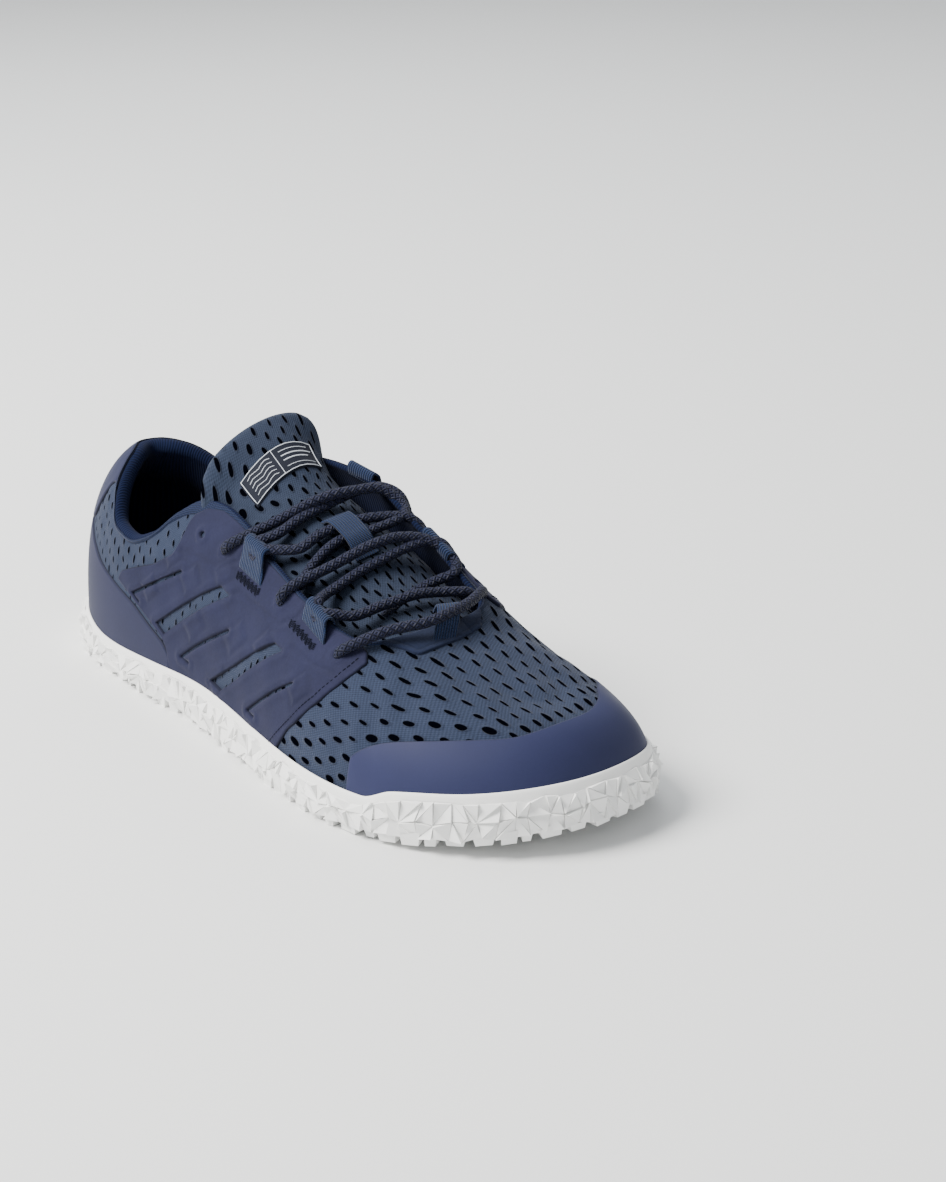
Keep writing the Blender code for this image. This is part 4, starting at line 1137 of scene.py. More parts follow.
def cage_dents(side):
    lines = slot_lines(side)
    squares = []
    for a, b in SQUARES:
        ca, cb = line_on([a, b], side, 2)[[0, -1]]
        squares.append((ca, cb))
    ridges = [
        walk([(0.330, 0.395), (0.372, 0.400), (0.415, 0.408), (0.447, 0.467), (0.452, 0.52)], side, 5),
        walk([(0.447, 0.364), (0.470, 0.40), (0.520, 0.402), (0.572, 0.412), (0.598, 0.470), (0.603, 0.51)], side, 5),
        walk([(0.612, 0.388), (0.660, 0.400), (0.705, 0.440)], side, 5),
    ]

    def fn(P, F, V):
        Vr = V if side > 0 else V - vm(side, F, V) + V
        # g is painted shade: slots, windows, pressed squares, ridges and eyelet pits are darkened by it
        dh, g = np.zeros(V.shape), np.zeros(V.shape)
        puff = np.zeros(V.shape)
        for line, w, hk, poly in lines:
            d, s = to_line(P, line)
            if hk is not None:
                d2, _ = to_line(P, hk)
                d = np.minimum(d, d2 + 0.15)
            half = 0.62
            if w is not None:
                dw, _ = to_line(P, w)
                c2, _ = to_line(P, np.array([line[-1], w[-1]]))
                ins = inside(F, V, poly)
                d = np.minimum(np.minimum(d, dw), c2)
                sd = np.where(ins, -d, d)
                dh -= 2.6 * (1 - smooth(sd, -0.5, 0.35))
                # painted shadow filling the window and along its edges
                g = np.maximum(g, np.where(ins, 1.0, np.exp(-(d / 0.45) ** 2) * 0.7))
                d = np.where(ins, 0, d)
            else:
                dh -= 1.5 * (1 - smooth(d, half * 0.35, half * 1.3))
                # painted shadow line along each narrow slot
                g = np.maximum(g, 1.0 - smooth(d, half * 0.6, half * 1.35))
            puff = np.maximum(puff, np.exp(-((d - 2.4) / 1.5) ** 2))
        dh += 0.32 * puff
        for ca, cb in squares:
            c = (ca + cb) / 2
            t = cb - ca
            L = np.linalg.norm(t)
            t /= L
            n = np.cross(t, P - c)
            e = P - c
            u = e @ t
            r = np.sqrt(np.maximum((e * e).sum(-1) - u * u, 0))
            box = np.maximum(np.abs(u) / (L * 0.62), r / 4.2)
            edge = np.exp(-((box - 1.08) / 0.24) ** 2)
            dh += 0.34 * (1 - smooth(box, 0.55, 1.10)) - 0.07 * edge
            # faint painted shade in the pressed line round each square
            g = np.maximum(g, 0.10 * edge)
        for r in ridges:
            d, _ = to_line(P, r)
            dh += 0.14 * np.exp(-((d - 1.8) / 1.5) ** 2) - 0.20 * np.exp(-(d / 1.1) ** 2)
            # faint painted shade along each ridge
            g = np.maximum(g, 0.07 * np.exp(-(d / 1.0) ** 2))
        for f0, v0 in HOLES + [(0.361, 0.467)]:
            q = side * angle(f0)
            c = last(q, vm(side, f0, v0))
            d = np.linalg.norm(P - c, axis=-1)
            dh += 0.35 * np.exp(-((d - 2.6) / 1.2) ** 2) - 2.2 * (1 - smooth(d, 0.75, 1.35))
            # painted shade inside each eyelet pit
            g = np.maximum(g, 1 - smooth(d, 0.9, 1.5))
        dh += 0.07 * np.sin(P[..., 1] * 0.33 + P[..., 2] * 0.21)
        return dh, g
    return fn


ff, clo, chi = cage_bounds()
for side, nm in ((1, "lateral"), (-1, "medial")):
    q = side * angle(ff)
    a, b = np.maximum(vm(side, ff, clo), 0), vm(side, ff, chi)
    lipv = v_at_height(q, lip_z(ff))
    under = np.convolve(np.pad((a < lipv + 0.035).astype(float), 15, mode="edge"), np.ones(31) / 31, "valid")
    under = smooth(under, 0.0, 1.0)
    a = a * (1 - under) + np.minimum(a, lipv - 0.03) * under
    if side < 0:
        b = np.minimum(b, opening(q) - 0.03)
        b = np.maximum(b, a + 0.0005)
        q, a, b = q[::-1], a[::-1], b[::-1]
    overlay("side_cage_skin_" + nm, q, a, b, 150, SUEDE, 0.9, dents=(cage_dents(side),),
            hem=False, nodes=["side_cage_" + nm])


# ------------------------------------------------------------------ throat front, tongue and label
def resample(line, n):
    line = np.asarray(line, float)
    s = np.concatenate([[0], np.cumsum(np.linalg.norm(np.diff(line, axis=0), axis=1))])
    t = np.linspace(0, s[-1], n)
    return np.stack([np.interp(t, s, line[:, k]) for k in range(line.shape[1])], -1)


qs = np.concatenate([angle(np.linspace(0.700, 0.775, 60)), -angle(np.linspace(0.775, 0.752, 30))])
inner = last(qs, opening(qs))[:, :2]
outer_fv = [(1, .700, .585), (1, .726, .647), (1, .737, .664), (1, .765, .714), (1, .784, .742), (1, .792, .80), (1, .798, .872),
            (1, .802, .928), (-1, .802, .985), (-1, .799, .967), (-1, .794, .930), (-1, .782, .905)]
outer = np.array([last(s * angle(f), v)[:2] for s, f, v in outer_fv])
inner, outer = resample(inner, 120), resample(spline(outer, 1.5), 120)
kk = np.linspace(0, 1, 26)
X = inner[:, None] * (1 - kk)[None, :, None] + outer[:, None] * kk[None, :, None]
d, _ = to_line(X, outer[2:-2])
d2, _ = to_line(X, inner[2:-2])
h = 0.85 * np.sqrt(np.clip(1 - (1 - np.clip(d / 0.9, 0, 1)) ** 2, 0, 1)) - 0.12 * np.exp(-((d - 2.0) / 0.35) ** 2)
h[:, -1] = -0.4
h[:, 0] = -1.2
# painted shade along the patch's edge and along its pressed line
G = 0.4 * np.exp(-(d / 0.4) ** 2) + 0.25 * np.exp(-((d - 2.0) / 0.35) ** 2)
FRONT = suede("m_throat_front", (0.014, 0.021, 0.052), (0.004, 0.007, 0.020), rough=0.92, grain=0.00025, nap=1.4, sheen=0.10)
tree = BVHTree.FromPolygons([tuple(p) for p in P.reshape(-1, 3)], [tuple(f) for f in quads(N_PHI, N_V, ring=True)])


def laid(x, y, d):
    """points at a height over the mesh, above plan points"""
    out = np.zeros(x.shape + (3,))
    miss = np.zeros(x.shape, bool)
    for k in np.ndindex(x.shape):
        p, n, _, _ = tree.ray_cast(Vector((x[k], y[k], 160.0)), Vector((0, 0, -1)))
        if p is None or n is None or p.z < 30:
            miss[k] = True
            continue
        n = n if n.z > 0 else -n
        out[k] = np.array(p) + np.array(n) * d[k]
    for k in zip(*np.nonzero(miss)):                 # over the opening: the height of the nearest point that landed
        hits = np.nonzero(~miss[k[0]])[0]
        if len(hits):
            m = hits[np.argmin(np.abs(hits - k[1]))]
            out[k] = [x[k], y[k], out[k[0], m][2] + d[k] - 0.2]
    keep = ~miss.all(1)
    out = out[keep]
    out[[0, -1], :, 2] -= 1.2                        # both ends tucked into the mesh
    return out, keep


skin, keep = laid(X[..., 0], X[..., 1], h)
front = grid("throat_front_patch", skin, None, {"groove_shade": np.clip(G[keep], 0, 1)}, [FRONT])
put(front)

TONGUE_T = 4.2
NY, NS = ((130, 90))
ty = 72 - (72 + 43.2) * np.linspace(0, 1, NY) ** 0.92
ts = np.sin(np.linspace(-PI / 2, PI / 2, NS)) * 0.55 + np.linspace(-1, 1, NS) * 0.45
fall = (1 - np.clip((-26 - ty) / 17.25, 0, 1) ** 3.0) ** (1 / 3.4)
Y, S = np.meshgrid(ty, ts, indexing="ij")


def grow(y, s):
    return 1 + np.where(s > 0, 0.16, 0.03) * smooth(-y, -14, 26)


def rise(y):
    return 1.8 * smooth(-y, 18, 42)


Sg = S * fall[:, None] * grow(Y, S)
mid_n = tongue(Y, Sg, 1.0) - tongue(Y, Sg, 0.0)
mid = tongue(Y, Sg, rise(Y) - TONGUE_T / 2)
e = np.sqrt(np.clip(1 - np.abs(ts) ** 9, 0, 1))[None] * np.sqrt(np.clip(1 - np.clip((-36 - ty) / 7.2, 0, 1) ** 4, 0.0, 1))[:, None]
puff = 0.45 * np.cos(S * PI / 2) ** 0.5 * smooth(-Y, -60, -20) + 0.22 * np.sin(Y * 0.24 + 1.0) * np.cos(S * 2.2) \
    + 0.14 * np.sin(Y * 0.5 + S * 3)
top = mid + mid_n * (e * (TONGUE_T / 2 + puff * e))[..., None]
bot = mid - mid_n * (e * TONGUE_T / 2)[..., None]
Pt = np.concatenate([top, bot[:, ::-1]], 1)
wid = np.array([[q(-y) for q in (_tg[2], _tg[3])] for y in ty]).mean(1)
arc = np.concatenate([[0], np.cumsum(np.linalg.norm(np.diff(tongue(ty, 0 * ty), axis=0), axis=1))])
Wt = S * fall[:, None] * wid[:, None] * 1.12
Ut = np.repeat(arc[:, None], NS, 1)
uvt = np.stack([Wt * (LAT_X / 6.1), Ut * (LAT_Y / 9.2)], -1)
uvt = np.concatenate([uvt, uvt[:, ::-1]], 1)
wrap = np.concatenate([Pt, Pt[:, :1]], 1)
uvw = np.concatenate([uvt, uvt[:, :1]], 1)
rx_t = np.full(wrap.shape[:2], 0.66)
ry_t = np.full(wrap.shape[:2], 3.0)
tong = grid("tongue_pad", wrap, uvw, {"rx": rx_t, "ry": ry_t}, [TONGUE_MESH])
bm = bmesh.new()
bm.from_mesh(tong.data)
bmesh.ops.remove_doubles(bm, verts=bm.verts, dist=1e-5)
bmesh.ops.dissolve_degenerate(bm, edges=bm.edges, dist=1e-6)
bmesh.ops.recalc_face_normals(bm, faces=bm.faces)
bm.to_mesh(tong.data)
bm.free()
put(tong, ["tongue"])


def on_tongue(y, s, d):
    """height above the padded top of the tongue"""
    y, s = np.broadcast_arrays(np.asarray(y, float), np.asarray(s, float))
    s, d = s * grow(y, s), d + rise(y)
    p = 0.45 * np.cos(s * PI / 2) ** 0.5 * smooth(-y, -60, -20) + 0.22 * np.sin(y * 0.24 + 1.0) * np.cos(s * 2.2) \
        + 0.14 * np.sin(y * 0.5 + s * 3)
    return tongue(y, s, p + d)


LY, LS = (-31.0, -20.0), (-0.60, 0.54)
yy, ss = np.linspace(*LY, 22), np.linspace(*LS, 40)
Y, S = np.meshgrid(yy, ss, indexing="ij")
ey = np.minimum(Y - LY[0], LY[1] - Y)
es = np.minimum(S - LS[0], LS[1] - S) * 23
ed = np.minimum(ey, es)
h = 0.35 + 0.55 * np.sqrt(np.clip(1 - (1 - np.clip(ed / 0.6, 0, 1)) ** 2, 0, 1))
h[0], h[-1], h[:, 0], h[:, -1] = -0.5, -0.5, -0.5, -0.5
label = grid("tongue_label", on_tongue(Y, S, h), None, {"groove_shade": np.zeros(Y.shape)}, [LABEL])
put(label)


def raised_line(pts, r=0.22):
    """thin raised thread on the label through (u 0..1 along, w 0..1 down) points"""
    pts = np.array(pts, float)
    q = []
    for a, b in zip(pts, pts[1:]):
        q += [a + (b - a) * t for t in np.arange(8) / 8]
    q = np.array(q + [pts[-1]])
    s = LS[1] + (LS[0] - LS[1]) * q[:, 0]
    y = LY[0] + (LY[1] - LY[0]) * q[:, 1]
    return sweep(on_tongue(y, s, np.full(len(q), 0.92)), r, 6)[0]


def merged(name, tubes, mat, flat=False):
    """several open tubes (n, sides, 3) as one piece"""
    V, F, k = [], [], 0
    for T in tubes:
        n, m = T.shape[:2]
        V.append(T.reshape(-1, 3))
        i, j = np.meshgrid(np.arange(n - 1), np.arange(m), indexing="ij")
        a, b = i * m + j, i * m + (j + 1) % m
        F.append(np.stack([a, b, b + m, a + m], -1).reshape(-1, 4) + k)
        k += n * m
    ob = build(name, np.concatenate(V), np.concatenate(F), None, None, [mat], flat=flat)
    put(ob)
    return ob


lines = [raised_line([(.03, .07), (.97, .07), (.97, .93), (.03, .93), (.03, .07)], 0.19), raised_line([(.40, .07), (.40, .93)], 0.15)]
for k, (w, a, b) in enumerate(((.24, .46, .88), (.40, .46, .91), (.56, .46, .84), (.78, .46, .91))):      # plain bars
    lines.append(raised_line([(a, w), (b, w)], (0.15, 0.26, 0.26, 0.13)[k]))
for k in range(5):                                   # plain waves
    w = .22 + .14 * k
    lines.append(raised_line([(x, w + .035 * np.sin(x * 38)) for x in np.linspace(.08, .35, 7)], 0.14))
merged("tongue_label_lines", lines, PALE)


# ------------------------------------------------------------------ webbing
def band(name, path, across, thick, mat, nodes=(), ribs_across=False):
    """flat webbing along a path: across (n, 3) half width vectors"""
    path, across = np.asarray(path, float), np.asarray(across, float)
    tan = np.gradient(path, axis=0)
    tan /= np.linalg.norm(tan, axis=1, keepdims=True)
    half = np.linalg.norm(across, axis=1, keepdims=True)
    aw = across / half
    nn = np.cross(aw, tan)
    nn /= np.linalg.norm(nn, axis=1, keepdims=True)
    s = np.concatenate([[0], np.cumsum(np.linalg.norm(np.diff(path, axis=0), axis=1))])
    prof = [(-1, 0)] + [(x, 1) for x in np.linspace(-0.94, 0.94, 11)] + [(1, 0)] + [(x, -1) for x in np.linspace(0.94, -0.94, 11)]
    cols, uv = [], []
    for x, z in prof + prof[:1]:
        cols.append(path + across * x + nn * (thick / 2 * z))
        uv.append(np.stack([(x * half[:, 0] + 0.3 * z), s], -1))
    ob = grid(name, np.stack(cols, 1), np.stack(uv, 1), None, [mat])
    put(ob, nodes)
    return ob


def lace_loop(name, side, f0, f1, v_slit, nodes):
    """webbing that comes out of the cage, arches over the cord at the throat edge and goes back under"""
    fm = (f0 + f1) / 2
    q = side * angle(fm)
    vt = float(opening(q))
    n, rimp = normal(q, vt - 0.02), last(q, vt)
    base = last(q, v_slit)
    t = rimp - base
    L = np.linalg.norm(t)
    t /= L
    a = last(side * angle(f1), v_slit) - last(side * angle(f0), v_slit)
    half = np.linalg.norm(a) / 2
    a = a / np.linalg.norm(a)
    k = 1.0 if side > 0 else 0.50
    pts = [base - n * 0.6 - t * 0.4, base + n * 1.1 + t * 0.6, base + t * L * 0.35 + n * 2.1 * k, base + t * L * 0.7 + n * 3.5 * k,
           rimp + n * 4.5 * k - t * 0.4, rimp + n * 3.9 * k + t * 1.2, rimp + n * 2.4 * k + t * 2.0, rimp + n * 0.3 + t * 1.9,
           rimp - n * 1.1 + t * 0.8, rimp - n * 1.6 - t * 1.2]
    path = spline(pts, 0.45)
    w = half * (1 - 0.16 * smooth(np.linspace(0, 1, len(path)), 0.1, 0.6))
    band(name, path, a[None] * w[:, None], 0.95, WEB, nodes=nodes)
    return base, a, t, n, rimp


loops = [
    lace_loop("web_lateral_rear", 1, 0.452, 0.508, 0.455, ["lace_loop_lateral_rear"]),
    lace_loop("web_lateral_front", 1, 0.606, 0.664, 0.478, ["lace_loop_lateral_front"]),
    lace_loop("web_medial_rear", -1, 0.452, 0.508, 0.600, ["lace_loop_medial_rear"]),
    lace_loop("web_medial_front", -1, 0.606, 0.664, 0.640, ["lace_loop_medial_front"]),
]
# front loop over the lace at the foot of the throat
c0, c1 = last(-angle(.766), .992), last(angle(.79), .956)
base = np.array([c0, last(angle(.747), .906), last(angle(.776), .839), c1])
mid_back, mid_front = (base[0] + base[1]) / 2, (base[2] + base[3]) / 2
acr = ((base[1] - base[0]) + (base[2] - base[3])) / 4
acr = acr / np.linalg.norm(acr) * 4.6
along = mid_back - mid_front
along /= np.linalg.norm(along)
upn = np.cross(acr, along)
upn /= np.linalg.norm(upn) * np.sign(upn[2])
pts = [mid_front - along * 2.6 + upn * 0.4, mid_front - along * 0.8 + upn * 1.5, mid_front + along * 1.2 + upn * 3.6, mid_front + along * 4.4 + upn * 5.9,
       mid_back + along * 0.0 + upn * 5.4, mid_back + along * 2.6 + upn * 2.6, mid_back + along * 3.4 - upn * 0.6]
pth = spline(pts, 0.45)
band("web_front", pth, np.repeat(acr[None], len(pth), 0), 0.95, WEB)
# keeper on the tongue
ky = np.array([23.6, 22.2, 20.2, 17.0, 13.0, 9.0, 5.6, 3.6, 2.4])
kd = np.array([0.3, 0.8, 3.2, 4.9, 5.4, 5.3, 3.8, 1.2, 0.3])
km = (-0.22 + 0.12) / 2
kp = spline(on_tongue(ky, np.full(ky.shape, km), kd), 0.45)
ka = on_tongue(np.array(12.0), np.array(0.12), 6.0) - on_tongue(np.array(12.0), np.array(-0.22), 6.0)
band("web_tongue_keeper", kp, np.repeat(ka[None] / 2, len(kp), 0), 0.95, WEB, nodes=["tongue_keeper"])


# ------------------------------------------------------------------ lace
def hole(k, side=1):
    f, v = HOLES[k]
    q = side * angle(f)
    v = vm(side, f, v)
    return last(q, v), normal(q, v)


def out_of(k, onward, side=1):
    """cord coming up out of an eyelet and lying over towards the next point"""
    c, n = hole(k, side)
    t = np.asarray(onward, float) - c
    t -= n * (t @ n)
    t /= np.linalg.norm(t)
    return [c - n * 3.2 - t * 0.5, c - n * 0.6 - t * 0.15, c + n * 1.7 + t * 1.3, c + n * 2.7 + t * 4.2]


def turn(k, way):
    """points of the cord's turn inside a loop, way +1 when it comes in from the toe side"""
    b, a, u, nn, r = loops[k]
    L = np.linalg.norm(r - b)
    c = b + u * (L * 0.62) + nn * 2.1
    return [tuple(c + a * (way * x) + u * y + nn * z) for x, y, z in ((2.9, 4.2, 0.5), (2.3, 1.6, 0.1), (0.0, 0.2, 0.0), (-2.3, 1.6, 0.1), (-2.9, 4.2, 0.5))]


LACE_RUNS = [
    # front bar: eyelet 1, through the front loop, to the medial side
    ("lace_bar_front", out_of(2, (21.9, 63.5, 58.6)) + [(21.9, 63.3, 59.6), (6.6, 70.4, 62.1), (-4.0, 70.2, 62.9),
                                                         (-13.4, 67.4, 63.2), (-22.6, 62.6, 62.8), (-27.0, 58.6, 60.5), (-27.6, 56.2, 56.0)],
     ["lace_front_bar"]),
    # second crossing: medial edge, back through the lateral front loop, over to the medial side again
    ("lace_cross_low_a", [(-25.6, 56.5, 55.0), (-24.0, 55.6, 60.0), (-19.2, 53.6, 61.6), (-12.8, 50.6, 62.0), (-2.0, 48.4, 62.6),
                          (9.0, 46.4, 61.4), (20.0, 44.6, 59.6), *turn(1, 1),
                          (22.0, 29.6, 63.4), (10.0, 28.6, 66.4), (-4.0, 29.8, 70.6), (-15.0, 30.6, 72.6), (-22.6, 32.4, 73.8),
                          (-27.4, 35.6, 73.2), (-29.4, 38.0, 69.6)],
     ["lace_lower_cross"]),
    ("lace_cross_low_b", [(7.3, 45.6, 56.6), (-5.0, 43.2, 60.2), (-16.8, 43.6, 62.8), (-24.0, 45.8, 65.0), (-27.2, 44.0, 67.2),
                          (-27.4, 38.4, 70.6), (-22.0, 31.4, 75.0), (-14.0, 27.6, 76.4), (-7.3, 26.6, 76.0), (3.5, 24.4, 73.6), (13.7, 21.8, 69.6)]
     + out_of(1, (13.7, 21.8, 69.6))[::-1], []),
    # third crossing
    ("lace_cross_up_a", [(-29.6, 13.6, 79.0), (-29.0, 10.2, 84.0), (-25.6, 4.8, 87.2), (-18.0, 0.6, 86.4), (-8.6, -0.6, 84.8), (0.0, -1.8, 82.6),
                         (8.0, -3.0, 79.8), (16.0, -4.9, 76.0), *turn(0, -1),
                         (15.0, 6.8, 73.2), (6.2, 8.0, 76.9), (-2.0, 9.8, 79.2), (-8.8, 12.2, 80.2), (-17.0, 15.6, 80.4), (-24.4, 19.4, 79.6),
                         (-27.6, 22.4, 76.8), (-28.6, 24.4, 73.2)],
     ["lace_upper_cross"]),
    ("lace_cross_up_b", out_of(0, (14.9, -10.7, 77.4)) + [(14.9, -10.7, 77.6), (8.0, -6.6, 81.8), (1.7, -3.2, 85.0), (-6.0, 1.0, 87.6), (-14.0, 3.4, 88.2),
                         (-21.0, 6.0, 87.8), (-25.4, 9.4, 85.6), (-27.4, 13.4, 82.6), (-25.4, 17.4, 80.6), (-20.0, 18.8, 79.0), (-8.8, 17.2, 77.0), (2.5, 14.4, 75.4),
                         (10.6, 14.4, 72.0), (17.6, 15.2, 67.6), (22.6, 17.0, 63.6)], []),
]
LACE_R = 1.95
for nm, pts, nodes in LACE_RUNS:
    path = spline(pts, 0.9)
    s = np.concatenate([[0], np.cumsum(np.linalg.norm(np.diff(path, axis=0), axis=1))])
    path = path + np.stack([0.16 * np.sin(s * 0.31 + len(nm)), 0.12 * np.sin(s * 0.23), 0.14 * np.sin(s * 0.27 + 1)], -1)
    put(tube(nm, path, LACE_R * (1 + 0.02 * np.sin(s * 0.9)), CORD, sides=20, flat=0.94), nodes)


# ------------------------------------------------------------------ stitches
def stitch(c, t, n, length=1.5, r=0.16):
    """one short thread lying on the surface and dipping at both ends"""
    k = np.linspace(-0.5, 0.5, 5)[:, None]
    path = c + t * (k * length) + n * (0.13 - 1.0 * k ** 2 * 0.9)
    return sweep(path, r, 5, up=n)[0]


threads = []
for (f0, f1, v0, v1), side in ((((0.456, 0.507, 0.428, 0.444)), 1), ((0.592, 0.648, 0.434, 0.452), 1),
                               ((0.456, 0.507, 0.565, 0.582), -1), ((0.600, 0.652, 0.600, 0.618), -1)):
    for rr in np.linspace(0, 1, 4):                  # box of dense zigzag under each webbing loop
        fz = np.linspace(f0, f1, 12)
        for k, f in enumerate(fz):
            q = side * angle(f)
            v = v0 + (v1 - v0) * rr + (0.003 if k % 2 else -0.003)
            c, n = off(q, v, 1.25), normal(q, v)
            t = off(q + 0.01 * side, v + (0.006 if k % 2 else -0.006), 1.25) - c
            t /= np.linalg.norm(t)
            threads.append(stitch(c, t, n, 1.4, 0.17))


def seam(line_fn, a, b, pitch, r=0.14, length=None):
    """row of stitches along t -> (point, normal)"""
    n = 400
    P = np.array([line_fn(t)[0] for t in np.linspace(a, b, n)])
    s = np.concatenate([[0], np.cumsum(np.linalg.norm(np.diff(P, axis=0), axis=1))])
    for d in np.arange(pitch / 2, s[-1], pitch):
        t = np.interp(d, s, np.linspace(a, b, n))
        c, nn = line_fn(t)
        c2, _ = line_fn(t + (b - a) * 1e-3)
        tt = c2 - c
        tt /= np.linalg.norm(tt)
        threads.append(stitch(c, tt, nn, length or pitch * 0.72, r))


# along each cage's front edge
def cage_front(side):
    e = np.array([(0.592, 0.02), (0.604, 0.075), (0.649, 0.195), (0.684, 0.318), (0.704, 0.415), (0.717, 0.505), (0.722, 0.553)])

    def fn(t):
        k = np.linspace(0, 1, len(e))
        f, v = np.interp(t, k, e[:, 0]), np.interp(t, k, e[:, 1])
        q = side * angle(f)
        v = vm(side, f, v)
        return off(q, v, 0.98), normal(q, v)
    return fn


for side in (1, -1):
    seam(cage_front(side), 0.0, 1.0, 1.9, 0.13)
merged("stitches", threads, THREAD)


# ------------------------------------------------------------------ outsole: smooth lip, faceted side, lugs
def ring_phi(n):
    """angles spaced evenly along the outline"""
    q = np.linspace(0, 2 * PI, 4001)
    p = outline(q, SOLE_FLARE)
    s = np.concatenate([[0], np.cumsum(np.linalg.norm(np.diff(p, axis=0), axis=1))])
    return np.interp(np.linspace(0, s[-1], n, endpoint=False), s, q), s[-1]


V3, F3 = [], []


def tri(a, b, c):
    k = len(V3)
    V3.extend([a, b, c])
    F3.append((k, k + 1, k + 2))


def quad(a, b, c, d):
    tri(a, b, c)
    tri(a, c, d)


q, per = ring_phi(560)
fq = station(q)
lv = v_at_height(q, lip_z(fq))
nh = normal(q, lv)
nh[:, 2] = 0
nh /= np.linalg.norm(nh, axis=1, keepdims=True)
lip_in = off(q, lv, np.full(q.shape, -0.2)) - np.array([0, 0, 1.2])
lip_a = off(q, lv, np.full(q.shape, 0.55))
lip_b = last(q, lv) + nh * 1.35 + np.array([0, 0, 0.15])
lip_c = last(q, lv) + nh * 1.85 - np.array([0, 0, 0.7])
flare = outline(q, SOLE_FLARE)
lowc = np.concatenate([flare, (2.6 + spring(flare[:, 1]))[:, None]], 1)
lip_d = lip_c * 0.80 + lowc * 0.20 + nh * 0.35
lip_e = lip_c * 0.72 + lowc * 0.28 + nh * 0.15
lipmesh = np.stack([lip_in, lip_a, (lip_a + lip_b) / 2 + np.array([0, 0, 0.25]), lip_b, lip_c, lip_d, lip_e], 1)
soft = grid("outsole_lip", lipmesh, None, {"groove_shade": np.zeros(lipmesh.shape[:2])}, [RUBBER], ring=True)
put(soft, ["outsole"])

n = 122
q, per = ring_phi(n)
fq = station(q)
lv = v_at_height(q, lip_z(fq))
nh = normal(q, lv)
nh[:, 2] = 0
nh /= np.linalg.norm(nh, axis=1, keepdims=True)
lip_c = last(q, lv) + nh * 1.85 - np.array([0, 0, 0.7])
flare = outline(q, SOLE_FLARE)
lowc = np.concatenate([flare, (2.2 + spring(flare[:, 1]))[:, None]], 1)
along = np.roll(lip_c, -1, 0) - np.roll(lip_c, 1, 0)
along /= np.linalg.norm(along, axis=1, keepdims=True)
W = []
for t, ja, jz, jn in ((0.14, 1.3, 0.9, 0.0), (0.54, 1.9, 1.5, 0.5), (0.97, 1.2, 0.8, 0.3)):
    line = lip_c * (1 - t) + lowc * t + nh * (0.7 * np.sin(PI * t))
    W.append(line + along * RNG.uniform(-ja, ja, n)[:, None] + nh * RNG.uniform(-jn, jn, n)[:, None]
             + np.array([0, 0, 1.0]) * RNG.uniform(-jz, jz, n)[:, None])
for k in range(len(W) - 1):
    for i in range(n):
        i2 = (i + 1) % n
        a, b, c, d = W[k][i], W[k][i2], W[k + 1][i2], W[k + 1][i]
        pair = ((a, b, c), (a, c, d)) if RNG.random() < 0.5 else ((a, b, d), (b, c, d))
        for t3 in pair:                              # each a wedge: one corner low, one standing out
            p = np.array(t3)
            nn = np.cross(p[1] - p[0], p[2] - p[0])
            nn /= max(np.linalg.norm(nn), 1e-9)
            nn *= np.sign(nn @ nh[i]) or 1
            h = RNG.permutation(np.array([0.05, 0.65, 2.15])) * RNG.uniform(0.6, 1.15)
            cen = p.mean(0)
            g = cen + (p - cen) * RNG.uniform(0.90, 0.98, 3)[:, None] + nn * h[:, None]
            g[:, 2] = np.maximum(g[:, 2], spring(g[:, 1]) + 0.35)
            tri(*g)
            for x in range(3):
                y = (x + 1) % 3
                quad(p[x], p[y], g[y], g[x])
base_in = np.array([*crest(np.array(0.0)), 0])
for i in range(n):                                   # underside plate
    i2 = (i + 1) % n
    a, b = W[-1][i], W[-1][i2]
    for t0, t1 in ((0.0, 0.34), (0.34, 0.68), (0.68, 1.0)):
        ca, cb = np.array([*crest(q[i]), 0]), np.array([*crest(q[i2]), 0])
        pts = []
        for e, cc, t in ((a, ca, t0), (b, cb, t0), (b, cb, t1), (a, ca, t1)):
            x = e[:2] * (1 - t) + cc[:2] * t
            pts.append(np.array([*x, 2.9 + spring(x[1])]))
        quad(*pts)


def prism(poly_top, poly_bot):
    """solid between a polygon and the smaller one under it"""
    m = len(poly_top)
    for x in range(m):
        y = (x + 1) % m
        quad(poly_top[x], poly_top[y], poly_bot[y], poly_bot[x])
    for x in range(1, m - 1):
        tri(poly_bot[0], poly_bot[x], poly_bot[x + 1])


def ground(x, y, lift=0.0):
    return np.array([x, y, float(spring(y)) + lift])


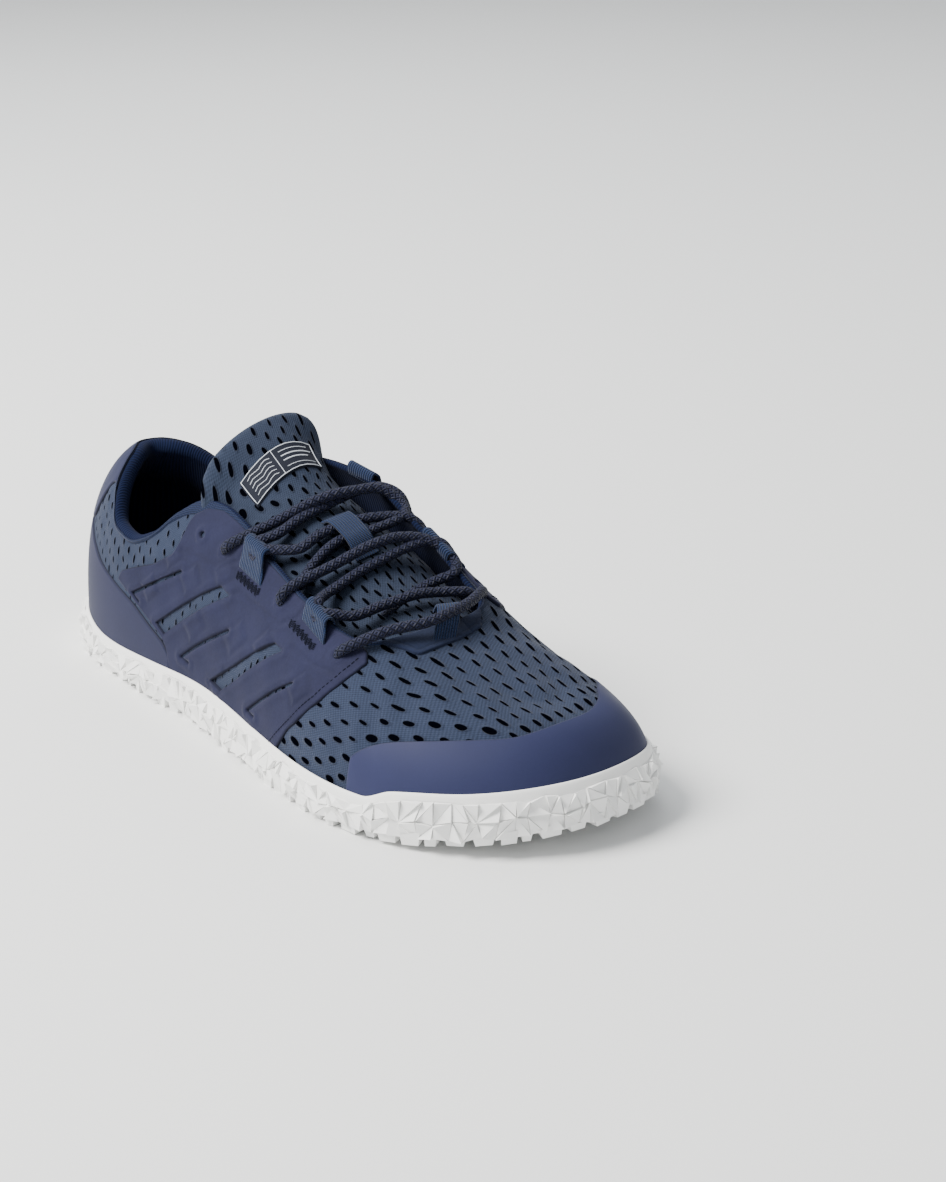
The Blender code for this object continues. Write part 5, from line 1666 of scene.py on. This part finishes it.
s = 0.0
qq = np.linspace(0, 2 * PI, 4001)
pp = outline(qq, SOLE_FLARE)
ss = np.concatenate([[0], np.cumsum(np.linalg.norm(np.diff(pp, axis=0), axis=1))])
while s < ss[-1] - 3.0:                              # blocks along the edge, the sole's castellated hem
    w = min(RNG.uniform(3.6, 8.6), ss[-1] - s - 1.0)
    ph0, ph1 = np.interp([s, s + w], ss, qq)
    A, Bb = outline(np.array([ph0, ph1]), SOLE_FLARE + RNG.uniform(-1.1, 1.3, 2))
    Cc, Dd = outline(np.array([ph1, ph0]), np.full(2, -RNG.uniform(3.5, 7.0)))
    cen = (A + Bb + Cc + Dd) / 4
    tt = (Bb - A) / np.linalg.norm(Bb - A)
    top_p = [ground(*A, RNG.uniform(3.0, 6.4)), ground(*Bb, RNG.uniform(3.0, 6.4)), ground(*Cc, 2.4), ground(*Dd, 2.4)]
    k0, k1 = RNG.uniform(-0.2, 1.3), RNG.uniform(-0.2, 1.3)
    bot = [cen + (z - cen) * RNG.uniform(0.86, 0.97) for z in (A, Bb, Cc, Dd)]
    bot = [bot[0] + tt * k0, bot[1] - tt * k1, bot[2] - tt * k1, bot[3] + tt * k0]
    prism(top_p, [ground(*z) for z in bot])
    s += w + RNG.uniform(1.0, 2.6)

rows_t = 20
yr = -LAST_L / 2 * np.cos(np.linspace(0, PI, 400))
lat_e, med_e = outline(np.linspace(0.02, PI - 0.02, 400), -8.0), outline(-np.linspace(0.02, PI - 0.02, 400), -8.0)
ys = np.linspace(-128, 127, rows_t + 1)
for r in range(rows_t):
    for c in range(6):
        pts = []
        for rr, cc in ((r, c), (r, c + 1), (r + 1, c + 1), (r + 1, c)):
            y = ys[rr]
            xl, xm = np.interp(y, lat_e[:, 1], lat_e[:, 0]), np.interp(y, med_e[:, 1], med_e[:, 0])
            u = cc / 6 + (0.05 if rr % 2 else -0.05) * (0 < cc < 6)
            pts.append(np.array([xm + (xl - xm) * u, y + (1.2 if (cc + rr) % 2 else -1.2)]))
        pair = ((0, 1, 2), (0, 2, 3)) if (r + c) % 2 else ((0, 1, 3), (1, 2, 3))
        for t3 in pair:
            p = np.array([pts[x] for x in t3])
            cen = p.mean(0)
            a_, b_ = cen + (p - cen) * 0.86, cen + (p - cen) * 0.70
            prism([ground(*z, 2.4) for z in a_], [ground(*z) for z in b_])
V3a, F3a = np.array(V3), np.array(F3)
shards = build("outsole_facets", V3a, F3a, None, None, [RUBBER], flat=True)
bm = bmesh.new()
bm.from_mesh(shards.data)
bmesh.ops.remove_doubles(bm, verts=bm.verts, dist=1e-6)
bmesh.ops.recalc_face_normals(bm, faces=bm.faces)
bm.to_mesh(shards.data)
bm.free()
put(shards)

# insole: the CAD board with a fine fabric
BOARD = Mat("m_insole", 0.9, Sheen_Weight=0.3, Specular_IOR_Level=0.2)
o = BOARD.place()
BOARD.colour(BOARD.mix(BOARD.noise(o, 900.0, 3.0), (0.008, 0.012, 0.030), (0.022, 0.032, 0.075)))
BOARD.bump(BOARD.noise(o, 1800.0, 2.0), 0.0002, 0.7)
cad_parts["insole"].data.materials.clear()
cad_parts["insole"].data.materials.append(BOARD.m)
